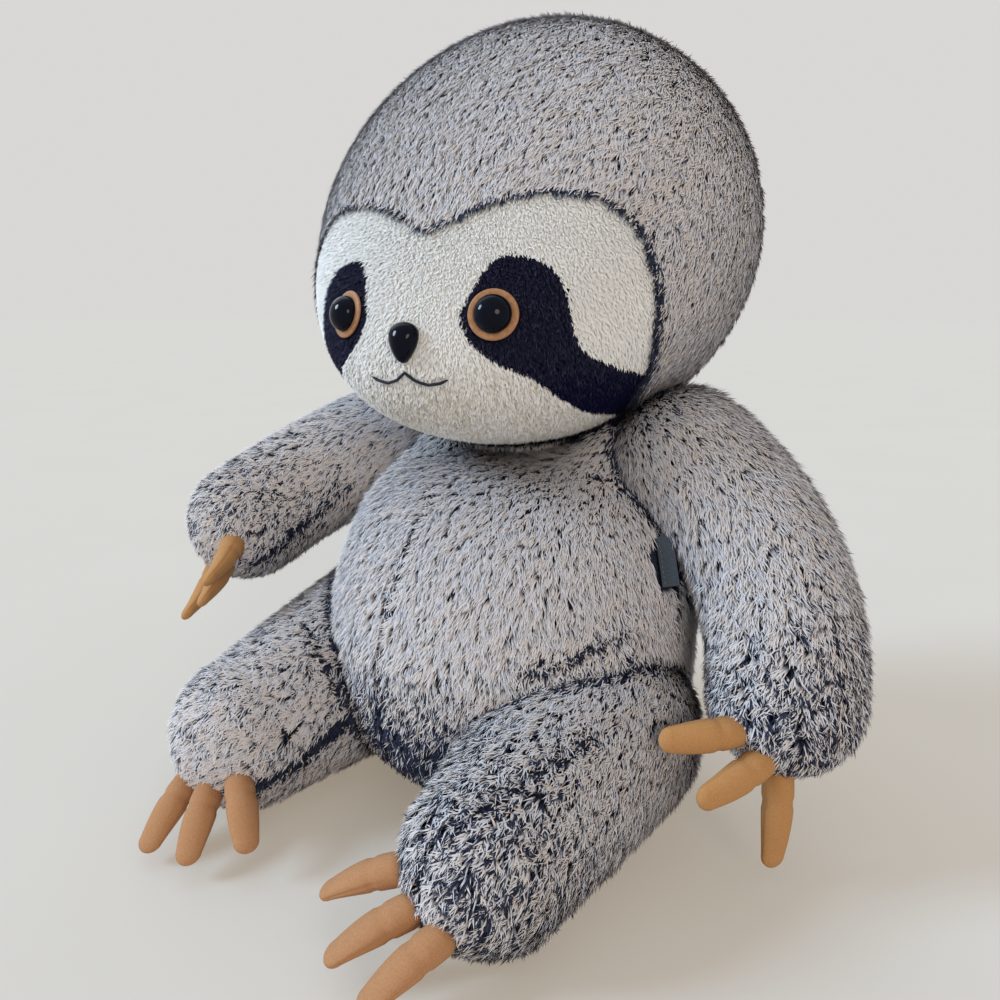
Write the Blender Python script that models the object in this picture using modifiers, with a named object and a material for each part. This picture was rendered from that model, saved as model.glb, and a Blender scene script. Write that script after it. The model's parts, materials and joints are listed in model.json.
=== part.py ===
"""Seated plush sloth: sewn covers over stuffing, a set-in face, safety eyes and nose, and twelve suede claws.

Metres, +Z up. The origin is the middle of the seat on the ground, and the sloth looks along -Y.
"""

import math

import bmesh
import bpy
from mathutils import Matrix, Vector
from mathutils.bvhtree import BVHTree

# Cloth, seams and running gaps
COVER_WALL = 0.004
STUFFING_GAP = 0.0012
SEAM_GAP = 0.0005
SEAT_GAP = 0.0004
BALL_GAP = 0.0003
BODY_GAP = 0.0010
OVERRUN = 0.02

# Torso: an egg that leans back, flat under the seat
TORSO_HALF_WIDTH = 0.170
TORSO_FRONT_DEPTH = 0.158
TORSO_BACK_DEPTH = 0.130
TORSO_HEIGHT = 0.292
TORSO_LEAN = 0.050
SEAT_SINK = 0.004
TORSO_WIDEST_SHARE = 0.51
TORSO_TOP_POWER = 3.5
TORSO_BOTTOM_POWER = 3.0

# Pellet bag in the seat
BAG_HALF_WIDTH = 0.050
BAG_HEIGHT = 0.030
BAG_TOP_POWER = 2.0

# Head: a wide cushion, full in front and fuller at the cheeks, that sits aside and turned to its left
HEAD_HALF_WIDTH = 0.198
HEAD_BACK_DEPTH = 0.097
HEAD_HALF_HEIGHT = 0.176
HEAD_STANDOFF = 0.004
HEAD_ASIDE = 0.0185
HEAD_SET_BACK = 0.0537
HEAD_TURN = math.radians(10.0)
FACE_FULLNESS = 0.072
CHEEK_FALL = 0.103
CHEEK_CURL = 0.062

# Neck: a ball of stuffing in the neck seam
NECK_RADIUS = 0.060
NECK_RISE = 0.006
NECK_SET_BACK = 0.052

# Arms: from the shoulder seam out and down to the hand
SHOULDER_INSET = 0.016
SHOULDER_DROP = 0.004
SHOULDER_SET_BACK = 0.042
ARM_ROOT_RADIUS = 0.044
ARM_HAND_RADIUS = 0.053
ARM_SWELL = 0.001
ELBOW_OUT = 0.094
ELBOW_DOWN = 0.055
HAND_OUT = 0.108
HAND_FORWARD = 0.032
HAND_DOWN = 0.158
RIGHT_ARM_RAISE = math.radians(48.6)
ARMHOLE_RADIUS = 0.073
ARMHOLE_INSET = 0.030
ARMHOLE_DEPTH = 0.050
ARMHOLE_CLEARANCE = 0.004

# Legs: from the hip seam forward to the foot
HIP_INSET = 0.050
HIP_FORWARD = 0.045
HIP_HEIGHT = 0.085
LEG_ROOT_RADIUS = 0.080
LEG_FOOT_RADIUS = 0.057
LEG_SWELL = 0.001
FOOT_OUT = 0.015
FOOT_FORWARD = 0.150
FOOT_SINK = 0.0015

# Claws: flat suede fingers on a round root
CLAW_ROOT_RADIUS = 0.009
CLAW_TIP_RADIUS = 0.0078
CLAW_SWELL = 0.0042
CLAW_REACH = 0.049
CLAW_CURL = 0.003
CLAW_STANDOFF = 0.0062
CLAW_FLAT_SHARE = 0.68

# Where each claw leaves its paw, and where it points: directions, as shares of a unit length
LEFT_HAND_CLAW_SHARES = {
    "upper": ((-0.28, -0.94, -0.18), (-0.55, -0.84, 0.06)),
    "middle": ((0.045, -0.861, -0.505), (-0.35, -0.90, -0.22)),
    "lower": ((0.17, -0.50, -0.86), (0.10, -0.22, -0.97)),
}
LEFT_PALM_SHARES = (0.83, -0.53, 0.20)
RIGHT_HAND_CLAW_SHARES = {
    "upper": ((0.55, -0.82, -0.12), (0.50, -0.80, -0.33)),
    "middle": ((0.25, -0.83, -0.50), (0.55, -0.76, -0.35)),
    "lower": ((-0.20, -0.68, -0.71), (0.40, -0.80, -0.45)),
}
RIGHT_PALM_SHARES = (0.52, 0.58, -0.52)
FOOT_CLAW_SHARES = {
    "inner": ((-0.70, -0.70, -0.08), (-0.80, -0.45, -0.40)),
    "middle": ((-0.33, -0.90, -0.25), (-0.56, -0.73, -0.40)),
    "outer": ((0.12, -0.94, -0.30), (-0.34, -0.85, -0.40)),
}

# Face panel: half outline from the brow notch down to the chin, as shares of its half width and height
FACE_HALF_WIDTH = 0.152
FACE_TOP_RISE = 0.0196
FACE_BOTTOM_RISE = 0.011
FACE_BACK = 0.027
FACE_OUTLINE_SHARES = (
    (0.241, 0.957), (0.474, 0.998), (0.707, 0.987), (0.873, 0.910), (0.963, 0.789), (1.000, 0.649),
    (0.992, 0.504), (0.947, 0.373), (0.849, 0.245), (0.701, 0.133), (0.428, 0.040),
)
FACE_NOTCH_SHARE = 0.877

# Eye patch: outline from the inner corner over the eye and down the tail, as shares of its width and height
PATCH_INNER = 0.040
PATCH_WIDTH = 0.110
PATCH_TOP_DROP = 0.0421
PATCH_BOTTOM_RISE = 0.019
PATCH_OUTLINE_SHARES = (
    (0.00, 0.70), (0.12, 0.955), (0.26, 1.00), (0.44, 0.95), (0.555, 0.84), (0.61, 0.675), (0.67, 0.485),
    (0.82, 0.375), (1.00, 0.25), (0.97, 0.02), (0.72, -0.07), (0.57, 0.075), (0.50, 0.195), (0.39, 0.33),
    (0.22, 0.415), (0.09, 0.51), (0.02, 0.60),
)

# Safety eyes on leather rings
EYE_SIDE = 0.0617
EYE_RISE_SHARE = 0.6745
EYE_RING_RADIUS = 0.0175
EYE_RING_THICKNESS = 0.0026
EYE_RING_EDGE = 0.0008
EYE_RADIUS = 0.0130
EYE_RIM = 0.0012
EYE_DOME = 0.0088
SEAT_DEPTH = 0.0019
SHANK_RADIUS = 0.0030
SHANK_TAIL = 0.0035
WASHER_RADIUS = 0.0105
WASHER_THICKNESS = 0.0018
WASHER_DROP = 0.0036

# Nose: a rounded triangle on its own shank
NOSE_DROP = 0.0815
NOSE_HALF_WIDTH = 0.0135
NOSE_HALF_HEIGHT = 0.0130
NOSE_DEPTH = 0.0120
NOSE_TAPER_SHARE = 0.30

# Mouth: one embroidered thread, half of it as shares of its half width and dip
MOUTH_DROP = 0.1022
MOUTH_HALF_WIDTH = 0.032
MOUTH_DIP = 0.008
THREAD_RADIUS = 0.0012
MOUTH_HALF_SHARES = ((0.0, 0.0), (0.25, 0.70), (0.53, 1.0), (0.80, 0.82), (1.0, 0.50))
MOUTH_STEPS = 3

# Side label: a folded tab in the left side seam
LABEL_LENGTH = 0.039
LABEL_WIDTH = 0.013
LABEL_THICKNESS = 0.0016
LABEL_EDGE = 0.0005
LABEL_DROP = 0.066
LABEL_FORWARD = 0.021
LABEL_SWING = math.radians(55.0)
LABEL_TILT = math.radians(14.0)

# Counts of faces
HEAD_FACES = (28, 18)
TORSO_FACES = (20, 14)
LIMB_FACES = (12, 16)
CLAW_FACES = (8, 12)
HEAD_STUFFING_FACES = (14, 18)
TORSO_STUFFING_FACES = (10, 14)
ARM_STUFFING_FACES = (12, 16)
LEG_STUFFING_FACES = (12, 8)
BALL_FACES = (18, 13)
SOCKET_FACES = (16, 12)
BAG_FACES = (16, 8)
TURNED_STEPS = 20
DOME_STEPS = 6
OUTLINE_STEPS = 2

TUBE_ANGLE = math.radians(45.0)
QUARTER_TURN = math.radians(90.0)
UNIT_STEP_SHARE = 0.001

# Colours: base colour, roughness
FUR_GREY = ((0.40, 0.39, 0.40), 0.95)
FACE_CREAM = ((0.82, 0.79, 0.75), 0.95)
PATCH_DARK = ((0.035, 0.035, 0.05), 0.95)
WADDING_WHITE = ((0.85, 0.85, 0.83), 1.0)
SUEDE_TAN = ((0.55, 0.33, 0.16), 0.85)
LEATHER_TAN = ((0.42, 0.20, 0.09), 0.55)
GLOSS_BLACK = ((0.004, 0.004, 0.007), 0.06)
WASHER_WHITE = ((0.75, 0.75, 0.72), 0.45)
THREAD_BLACK = ((0.012, 0.012, 0.018), 0.7)
LABEL_SLATE = ((0.045, 0.06, 0.08), 0.8)
LINEN = ((0.62, 0.58, 0.50), 0.9)


# Places worked out from the sizes above
TORSO_WIDEST = TORSO_HEIGHT * TORSO_WIDEST_SHARE
HEAD_CENTRE = Vector((-HEAD_ASIDE, HEAD_SET_BACK, TORSO_HEIGHT + HEAD_STANDOFF + HEAD_HALF_HEIGHT))
NECK_CENTRE = Vector((-HEAD_ASIDE, NECK_SET_BACK, TORSO_HEIGHT + NECK_RISE))
FACE_BOTTOM = HEAD_CENTRE.z - HEAD_HALF_HEIGHT + FACE_BOTTOM_RISE
FACE_HEIGHT = HEAD_CENTRE.z + FACE_TOP_RISE - FACE_BOTTOM
PATCH_BOTTOM = FACE_BOTTOM + PATCH_BOTTOM_RISE
PATCH_HEIGHT = FACE_HEIGHT - PATCH_TOP_DROP - PATCH_BOTTOM_RISE
EYE_HEIGHT = PATCH_BOTTOM + EYE_RISE_SHARE * PATCH_HEIGHT
LABEL_HEIGHT = TORSO_HEIGHT - LABEL_DROP


def shoulder(side):
    """Centre of the shoulder ball; side is 1 for the left arm and -1 for the right."""
    across = TORSO_HALF_WIDTH - SHOULDER_INSET
    return Vector((side * across, SHOULDER_SET_BACK, TORSO_HEIGHT - SHOULDER_DROP))


def hip(side):
    """Centre of the hip ball."""
    return Vector((side * (TORSO_HALF_WIDTH - HIP_INSET), -HIP_FORWARD, HIP_HEIGHT))


def arm(side):
    """The arm's axis as three points, with its radii; the right arm is the left one mirrored and raised."""
    root = shoulder(side)
    raised = Matrix.Rotation(RIGHT_ARM_RAISE if side < 0 else 0, 3, "X").transposed()
    elbow = raised @ Vector((side * ELBOW_OUT, 0, -ELBOW_DOWN))
    hand = raised @ Vector((side * HAND_OUT, -HAND_FORWARD, -HAND_DOWN))
    return {"axis": (root, root + elbow, root + hand), "radii": (ARM_ROOT_RADIUS, ARM_HAND_RADIUS),
            "swell": ARM_SWELL, "flat": 1, "up": Vector((0, -1, 0))}


def leg(side):
    """The leg's axis, straight from the hip to a foot that rests on the ground."""
    root = hip(side)
    foot = Vector((root.x + side * FOOT_OUT, root.y - FOOT_FORWARD, LEG_FOOT_RADIUS - FOOT_SINK))
    return {"axis": (root, (root + foot) / 2, foot), "radii": (LEG_ROOT_RADIUS, LEG_FOOT_RADIUS),
            "swell": LEG_SWELL, "flat": 1, "up": Vector((0, 0, 1))}


def claw(paw, leaves, points, palm):
    """A claw on a round paw: its pivot stands off the paw and it curls towards the palm."""
    centre, paw_radius = paw
    pivot = centre + Vector(leaves).normalized() * (paw_radius + CLAW_STANDOFF)
    along = Vector(points).normalized()
    towards = (palm - along * palm.dot(along)).normalized()
    bend = pivot + along * CLAW_REACH / 2 + towards * CLAW_CURL
    return {"axis": (pivot, bend, pivot + along * CLAW_REACH), "radii": (CLAW_ROOT_RADIUS, CLAW_TIP_RADIUS),
            "swell": CLAW_SWELL, "flat": CLAW_FLAT_SHARE, "up": towards}


def claw_axis(claw_form):
    """Unit axis that a claw bends about: a positive turn brings it towards the palm side."""
    pivot, _, tip = claw_form["axis"]
    return (tip - pivot).cross(claw_form["up"]).normalized()


def paws():
    """The four paws: name, joint parent form, claw directions and palm normal."""
    mirror = Vector((-1, 1, 1))
    right_foot = {name: tuple(Vector(v) * mirror for v in pair) for name, pair in FOOT_CLAW_SHARES.items()}
    up = Vector((0, 0, 1))
    return (
        ("left_hand", arm(1), LEFT_HAND_CLAW_SHARES, Vector(LEFT_PALM_SHARES)),
        ("right_hand", arm(-1), RIGHT_HAND_CLAW_SHARES, Vector(RIGHT_PALM_SHARES)),
        ("left_foot", leg(1), FOOT_CLAW_SHARES, up),
        ("right_foot", leg(-1), right_foot, up),
    )


def claws():
    """All twelve claws as (name, form)."""
    found = []
    for paw_name, limb, directions, palm in paws():
        paw = (limb["axis"][2], limb["radii"][1])
        for place, (leaves, points) in directions.items():
            found.append((f"{paw_name}_claw_{place}", paw_name, claw(paw, leaves, points, palm)))
    return found


# Forms: each turns a point of the unit sphere into a point of the soft form
def torso_point(unit):
    """Egg with flattened ends; its upper half leans back."""
    share = unit.z
    if share > 0:
        full = (1 - share ** TORSO_TOP_POWER) ** (1 / TORSO_TOP_POWER)
        height = TORSO_WIDEST + (TORSO_HEIGHT - TORSO_WIDEST) * share
    else:
        full = (1 - (-share) ** TORSO_BOTTOM_POWER) ** (1 / TORSO_BOTTOM_POWER)
        height = TORSO_WIDEST + (TORSO_WIDEST + SEAT_SINK) * share
    around = Vector((unit.x, unit.y))
    around = around.normalized() if around.length > 0 else around
    depth = TORSO_BACK_DEPTH if around.y > 0 else TORSO_FRONT_DEPTH
    back = TORSO_LEAN * max(0, share)
    return Vector((TORSO_HALF_WIDTH * full * around.x, depth * full * around.y + back, max(0, height)))


def head_point(unit):
    """Wide cushion whose face stands forward, most at the cheeks; it isn't turned yet."""
    front = max(0, -unit.y)
    low = min(0, unit.z)
    fullness = FACE_FULLNESS * (1 - max(0, unit.z)) - CHEEK_FALL * low + CHEEK_CURL * low * low
    depth = HEAD_BACK_DEPTH * unit.y - front * fullness
    return HEAD_CENTRE + Vector((HEAD_HALF_WIDTH * unit.x, depth, HEAD_HALF_HEIGHT * unit.z))


def limb_frame(limb, along_share):
    """Centre and axes of the limb at a share of its length, on the curve through its three points."""
    first, middle, last = limb["axis"]
    rest = 1 - along_share
    centre = first * rest * rest + middle * 2 * rest * along_share + last * along_share * along_share
    tangent = ((middle - first) * rest + (last - middle) * along_share).normalized()
    side = limb["up"].cross(tangent).normalized()
    return centre, tangent, side, tangent.cross(side)


def limb_point(limb, unit):
    """Round root, a tube that tapers or swells, and a round tip, all along the limb's curve."""
    root_radius, tip_radius = limb["radii"]
    angle = math.asin(max(-1, min(1, unit.z)))
    around = Vector((unit.x, unit.y))
    around = around.normalized() if around.length > 0 else around
    flat = limb["flat"]
    if angle <= 0:
        share, along, radius, thin = 0, root_radius * math.sin(angle), root_radius * math.cos(angle), 1
    elif angle < TUBE_ANGLE:
        share = angle / TUBE_ANGLE
        bulge = limb["swell"] * math.sin(math.pi * share)
        along, radius = 0, root_radius + (tip_radius - root_radius) * share + bulge
        thin = 1 + (flat - 1) * share
    else:
        cap = (angle - TUBE_ANGLE) / (QUARTER_TURN - TUBE_ANGLE) * QUARTER_TURN
        share, along, radius, thin = 1, tip_radius * math.sin(cap), tip_radius * math.cos(cap), flat
    centre, tangent, side, up = limb_frame(limb, share)
    return centre + tangent * along + side * around.x * radius + up * around.y * radius * thin


def bag_point(unit):
    """Pellet bag: a round cushion that lies on the inner floor of the torso cover."""
    floor = COVER_WALL + SEAT_GAP
    if unit.z > 0:
        height = BAG_HEIGHT / 2 * (1 + unit.z)
    else:
        height = BAG_HEIGHT / 2 * (1 + math.copysign((-unit.z) ** (1 / BAG_TOP_POWER), unit.z))
    return Vector((BAG_HALF_WIDTH * unit.x, BAG_HALF_WIDTH * unit.y, floor + height))


def face_unit(across, height):
    """Point of the unit sphere that the head form puts at this place of its front, seen from the front."""
    x = across / HEAD_HALF_WIDTH
    z = (height - HEAD_CENTRE.z) / HEAD_HALF_HEIGHT
    return Vector((x, -math.sqrt(max(0, 1 - x * x - z * z)), z))


def face_point(across, height):
    return head_point(face_unit(across, height))


def face_normal(across, height):
    """Outward normal of the head form's front."""
    step = HEAD_HALF_WIDTH * UNIT_STEP_SHARE
    right = face_point(across + step, height) - face_point(across - step, height)
    up = face_point(across, height + step) - face_point(across, height - step)
    return right.cross(up).normalized()


# Scene set-up
def clear_scene():
    for obj in list(bpy.data.objects):
        bpy.data.objects.remove(obj, do_unlink=True)
    for collection in list(bpy.data.collections):
        bpy.data.collections.remove(collection)


def new_collection(name):
    collection = bpy.data.collections.new(name)
    bpy.context.scene.collection.children.link(collection)
    return collection


def new_material(name, finish):
    colour, roughness = finish
    material = bpy.data.materials.new(name)
    material.use_nodes = True
    shader = material.node_tree.nodes["Principled BSDF"]
    shader.inputs["Base Color"].default_value = (*colour, 1)
    shader.inputs["Roughness"].default_value = roughness
    shader.inputs["Metallic"].default_value = 0
    return material


def link_object(name, mesh, collection, origin=Vector((0, 0, 0))):
    """A new object whose mesh was made in world places, with its origin moved to origin."""
    mesh.transform(Matrix.Translation(-origin))
    mesh.shade_smooth()
    obj = bpy.data.objects.new(name, mesh)
    obj.location = origin
    collection.objects.link(obj)
    return obj


def sphere_mesh(name, faces, place, open_end=None):
    """A UV sphere whose vertices go where place() says; open_end drops the ring of faces at that pole."""
    bm = bmesh.new()
    bmesh.ops.create_uvsphere(bm, u_segments=faces[0], v_segments=faces[1], radius=1)
    if open_end is not None:
        poles = [v for v in bm.verts if v.co.z * open_end > 1 - UNIT_STEP_SHARE]
        bmesh.ops.delete(bm, geom=poles, context="VERTS")
    for vert in bm.verts:
        vert.co = place(vert.co)
    mesh = bpy.data.meshes.new(name)
    bm.to_mesh(mesh)
    bm.free()
    return mesh


def change(place, unit, step):
    """How a form's point moves when the unit point moves by a step either way."""
    return place((unit + step).normalized()) - place((unit - step).normalized())


def inset(place, distance):
    """The form that lies this far inside another; a negative distance lies outside it."""
    def moved(unit):
        side = Vector((0, 0, 1)).cross(unit)
        side = side.normalized() if side.length > UNIT_STEP_SHARE else Vector((1, 0, 0))
        up = unit.cross(side)
        across = change(place, unit, side * UNIT_STEP_SHARE)
        rise = change(place, unit, up * UNIT_STEP_SHARE)
        return place(unit) - across.cross(rise).normalized() * distance

    return moved


def flats(faces, place):
    """The flat faces of a soft form, to lay a piece on."""
    mesh = sphere_mesh("flats", faces, place)
    tree = BVHTree.FromPolygons([v.co for v in mesh.vertices], [face.vertices for face in mesh.polygons])
    bpy.data.meshes.remove(mesh)
    return tree


def evaluated_mesh(obj):
    bpy.context.view_layer.update()
    return bpy.data.meshes.new_from_object(obj.evaluated_get(bpy.context.evaluated_depsgraph_get()))


def weld(mesh):
    bm = bmesh.new()
    bm.from_mesh(mesh)
    bmesh.ops.remove_doubles(bm, verts=bm.verts, dist=STUFFING_GAP * UNIT_STEP_SHARE)
    bmesh.ops.recalc_face_normals(bm, faces=bm.faces)
    bm.to_mesh(mesh)
    bm.free()
    return mesh


def as_cutter(obj):
    obj.hide_render = True
    obj.display_type = "WIRE"
    return obj


def boolean(obj, cutter, operation="DIFFERENCE"):
    modifier = obj.modifiers.new(f"{operation.lower()}_{cutter.name}", "BOOLEAN")
    modifier.operation = operation
    modifier.solver = "EXACT"
    modifier.object = cutter
    return modifier


def solidify(obj, thickness=COVER_WALL):
    modifier = obj.modifiers.new("cloth", "SOLIDIFY")
    modifier.thickness = thickness
    modifier.offset = -1
    modifier.use_even_offset = True
    return modifier


def around_ball(radius, gap, faces=SOCKET_FACES):
    """Radius of a faceted sphere whose flats keep the gap to a ball of this radius."""
    return (radius + gap) / (math.cos(math.pi / faces[0]) * math.cos(math.pi / (2 * faces[1])))


def ball_mesh(name, centre, radius, faces=SOCKET_FACES):
    return sphere_mesh(name, faces, lambda unit: centre + unit * radius)


def aligned(direction, origin, up=Vector((0, 0, 1))):
    """Matrix that takes local +Z to the direction and the local origin to origin."""
    along = direction.normalized()
    side = up.cross(along).normalized()
    turned = Matrix((side, along.cross(side), along)).transposed()
    return Matrix.Translation(origin) @ turned.to_4x4()


def cylinder_mesh(name, radius, start, end, faces=TURNED_STEPS, end_radius=None):
    """A capped cylinder between two points, or a cone where the radius at its end differs."""
    bm = bmesh.new()
    depth = (end - start).length
    wide = radius if end_radius is None else end_radius
    bmesh.ops.create_cone(bm, cap_ends=True, segments=faces, radius1=radius, radius2=wide, depth=depth)
    bm.transform(aligned(end - start, (start + end) / 2))
    mesh = bpy.data.meshes.new(name)
    bm.to_mesh(mesh)
    bm.free()
    return mesh


def turned_object(name, profile, collection, placed):
    """A closed profile of (radius, height) points, turned about local Z."""
    mesh = bpy.data.meshes.new(name)
    points = [(radius, 0, height) for radius, height in profile]
    closed = profile[0][0] > 0
    edges = [(i, i + 1) for i in range(len(points) - 1)] + ([(len(points) - 1, 0)] if closed else [])
    mesh.from_pydata(points, edges, [])
    obj = bpy.data.objects.new(name, mesh)
    obj.matrix_world = placed
    screw = obj.modifiers.new("turn", "SCREW")
    screw.steps = TURNED_STEPS
    screw.render_steps = TURNED_STEPS
    screw.use_merge_vertices = True
    screw.merge_threshold = SHANK_RADIUS * UNIT_STEP_SHARE
    collection.objects.link(obj)
    return obj


def outline_cutter(name, points, sharp, collection, beyond=0):
    """A prism through the front half of the head, from an outline of (across, height) points."""
    front = HEAD_SET_BACK - HEAD_BACK_DEPTH - FACE_FULLNESS - CHEEK_FALL - beyond
    back = HEAD_SET_BACK - FACE_BACK + beyond
    curve = bpy.data.curves.new(name, "CURVE")
    curve.dimensions = "2D"
    curve.fill_mode = "BOTH"
    curve.resolution_u = OUTLINE_STEPS
    curve.extrude = (back - front) / 2
    spline = curve.splines.new("BEZIER")
    spline.bezier_points.add(len(points) - 1)
    for index, (knot, point) in enumerate(zip(spline.bezier_points, points)):
        knot.co = (point[0], point[1], 0)
        handle = "VECTOR" if index in sharp else "AUTO"
        knot.handle_left_type = handle
        knot.handle_right_type = handle
    spline.use_cyclic_u = True
    drawn = bpy.data.objects.new(name + "_outline", curve)
    upright = Matrix.Rotation(QUARTER_TURN, 4, "X")
    drawn.matrix_world = Matrix.Translation((HEAD_CENTRE.x, (front + back) / 2, 0)) @ upright
    collection.objects.link(drawn)
    mesh = weld(evaluated_mesh(drawn))
    prism = bpy.data.objects.new(name, mesh)
    prism.matrix_world = drawn.matrix_world.copy()
    collection.objects.link(prism)
    bpy.data.objects.remove(drawn, do_unlink=True)
    return as_cutter(prism)


def grown_outline(points, distance):
    """The outline moved outward by a distance, along the bisector at each point; the points run clockwise."""
    moved = []
    count = len(points)
    for index, point in enumerate(points):
        here = Vector(point)
        before = (here - Vector(points[index - 1])).normalized()
        after = (Vector(points[(index + 1) % count]) - here).normalized()
        along = (before + after).normalized()
        outward = Vector((-along.y, along.x))
        moved.append(tuple(here + outward * distance / max(UNIT_STEP_SHARE, along.dot(after))))
    return moved


def face_outline():
    """Clockwise from the brow notch, as seen with +X to the right."""
    right = [(x * FACE_HALF_WIDTH, FACE_BOTTOM + z * FACE_HEIGHT) for x, z in FACE_OUTLINE_SHARES]
    left = [(-x, z) for x, z in reversed(right)]
    notch = (0, FACE_BOTTOM + FACE_NOTCH_SHARE * FACE_HEIGHT)
    chin = (0, FACE_BOTTOM)
    return [notch] + right + [chin] + left


def patch_outline(side):
    """Clockwise for either side."""
    points = [
        (side * (PATCH_INNER + x * PATCH_WIDTH), PATCH_BOTTOM + z * PATCH_HEIGHT)
        for x, z in PATCH_OUTLINE_SHARES
    ]
    return points if side > 0 else list(reversed(points))


def eye_frame(side):
    """Place and outward direction of an eye on the head form."""
    return face_point(side * EYE_SIDE, EYE_HEIGHT), face_normal(side * EYE_SIDE, EYE_HEIGHT)


def nose_frame():
    height = HEAD_CENTRE.z - NOSE_DROP
    return face_point(0, height), face_normal(0, height)


# The build
class Sloth:
    def __init__(self):
        self.parts = new_collection("plush_sloth")
        self.cutters = new_collection("cutters")
        self.empties = {}

    def empty(self, name, place, parent=None):
        """Parent empty of a moving body, on its joint's axis."""
        obj = bpy.data.objects.new(name, None)
        self.parts.objects.link(obj)
        above = self.empties.get(parent)
        obj.parent = above[0] if above else None
        obj.location = place - (above[1] if above else Vector((0, 0, 0)))
        self.empties[name] = (obj, place)
        return obj

    def carry(self, obj, body):
        """Puts the piece under its body's empty, where it is."""
        empty, place = self.empties[body]
        obj.parent = empty
        obj.location = obj.location - place
        return obj

    def part(self, name, mesh, finish, body, origin=None):
        obj = link_object(name, mesh, self.parts, self.empties[body][1] if origin is None else origin)
        obj.data.materials.append(new_material(name, finish))
        return self.carry(obj, body)

    def cutter(self, name, mesh):
        return as_cutter(link_object(name, mesh, self.cutters))

    def body_empties(self):
        origin = Vector((0, 0, 0))
        self.empty("torso_body", origin)
        self.empty("neck_body", NECK_CENTRE, "torso_body")
        self.empty("head_body", NECK_CENTRE, "neck_body")
        for side, word in ((1, "left"), (-1, "right")):
            self.empty(f"{word}_hand_body", shoulder(side), "torso_body")
            self.empty(f"{word}_foot_body", hip(side), "torso_body")
        self.empty("label_body", label_hinge()[0], "torso_body")

    def floor(self):
        """A block under the ground, which cuts the feet flat."""
        reach = TORSO_HALF_WIDTH + HEAD_HALF_WIDTH
        bm = bmesh.new()
        bmesh.ops.create_cube(bm, size=1)
        bmesh.ops.scale(bm, vec=(2 * reach, 2 * reach, OVERRUN), verts=bm.verts)
        bmesh.ops.translate(bm, vec=(0, 0, -OVERRUN / 2), verts=bm.verts)
        mesh = bpy.data.meshes.new("ground")
        bm.to_mesh(mesh)
        bm.free()
        self.ground = self.cutter("ground", mesh)

    def sockets(self):
        """The balls that the seams turn on, as cutters that leave the running gap."""
        self.neck_socket = self.cutter(
            "neck_socket", ball_mesh("neck_socket", NECK_CENTRE, around_ball(NECK_RADIUS, BALL_GAP)))
        self.root_sockets = []
        for side, word in ((1, "left"), (-1, "right")):
            for joint, centre, radius in (
                ("shoulder", shoulder(side), ARM_ROOT_RADIUS),
                ("hip", hip(side), LEG_ROOT_RADIUS),
            ):
                name = f"{word}_{joint}_socket"
                mesh = ball_mesh(name, centre, around_ball(radius, BALL_GAP))
                self.root_sockets.append(self.cutter(name, mesh))
            name = f"{word}_armhole"
            inner = ARM_ROOT_RADIUS - ARMHOLE_CLEARANCE
            start = shoulder(side) - Vector((side * ARMHOLE_INSET, 0, 0))
            end = start + Vector((side * ARMHOLE_DEPTH, 0, 0))
            mesh = cylinder_mesh(name, inner, start, end, SOCKET_FACES[0], ARMHOLE_RADIUS)
            self.root_sockets.append(self.cutter(name, mesh))

    def torso(self):
        outside = sphere_mesh("torso_cover", TORSO_FACES, torso_point)
        cover = self.part("torso_cover", outside, FUR_GREY, "torso_body")
        solidify(cover)
        boolean(cover, self.neck_socket)
        inside = inset(torso_point, COVER_WALL + STUFFING_GAP)
        filling = sphere_mesh("torso_stuffing", TORSO_STUFFING_FACES, inside)
        stuffing = self.part("torso_stuffing", filling, WADDING_WHITE, "torso_body")
        boolean(stuffing, self.neck_socket)
        for socket in self.root_sockets:
            boolean(cover, socket)
            boolean(stuffing, socket)
        self.part("pellet_bag", sphere_mesh("pellet_bag", BAG_FACES, bag_point), LINEN, "torso_body")
        pocket = sphere_mesh("bag_pocket", BAG_FACES, inset(bag_point, -STUFFING_GAP))
        boolean(stuffing, self.cutter("bag_pocket", pocket))

    def neck(self):
        self.part("neck_stuffing", ball_mesh("neck_stuffing", NECK_CENTRE, NECK_RADIUS, BALL_FACES),
                  WADDING_WHITE, "neck_body")

    def head_shell(self, name, finish):
        shell = self.part(name, sphere_mesh(name, HEAD_FACES, head_point, -1), finish, "head_body")
        solidify(shell)
        return shell

    def head(self):
        others = set(self.cutters.objects)
        notch = {0}
        face_hole = outline_cutter("face_hole", grown_outline(face_outline(), SEAM_GAP), notch, self.cutters)
        face_shape = outline_cutter("face_shape", face_outline(), notch, self.cutters)
        cover = self.head_shell("head_cover", FUR_GREY)
        boolean(cover, self.neck_socket)
        boolean(cover, face_hole)
        panel = self.head_shell("face_panel", FACE_CREAM)
        boolean(panel, face_shape, "INTERSECT")
        inside = inset(head_point, COVER_WALL + STUFFING_GAP)
        filling = sphere_mesh("head_stuffing", HEAD_STUFFING_FACES, inside)
        self.head_stuffing = self.part("head_stuffing", filling, WADDING_WHITE, "head_body")
        boolean(self.head_stuffing, self.neck_socket)
        self.nose(panel)
        for side, word in ((1, "left"), (-1, "right")):
            outline = patch_outline(side)
            grown = grown_outline(outline, SEAM_GAP)
            hole = outline_cutter(f"{word}_patch_hole", grown, set(), self.cutters, COVER_WALL)
            shape = outline_cutter(f"{word}_patch_shape", outline, set(), self.cutters, COVER_WALL)
            boolean(panel, hole)
            patch = self.head_shell(f"eye_patch_{word}", PATCH_DARK)
            boolean(patch, face_shape, "INTERSECT")
            boolean(patch, shape, "INTERSECT")
            self.eye(side, word, patch)
        self.mouth()
        self.turn_head([cutter for cutter in self.cutters.objects if cutter not in others])

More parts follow.
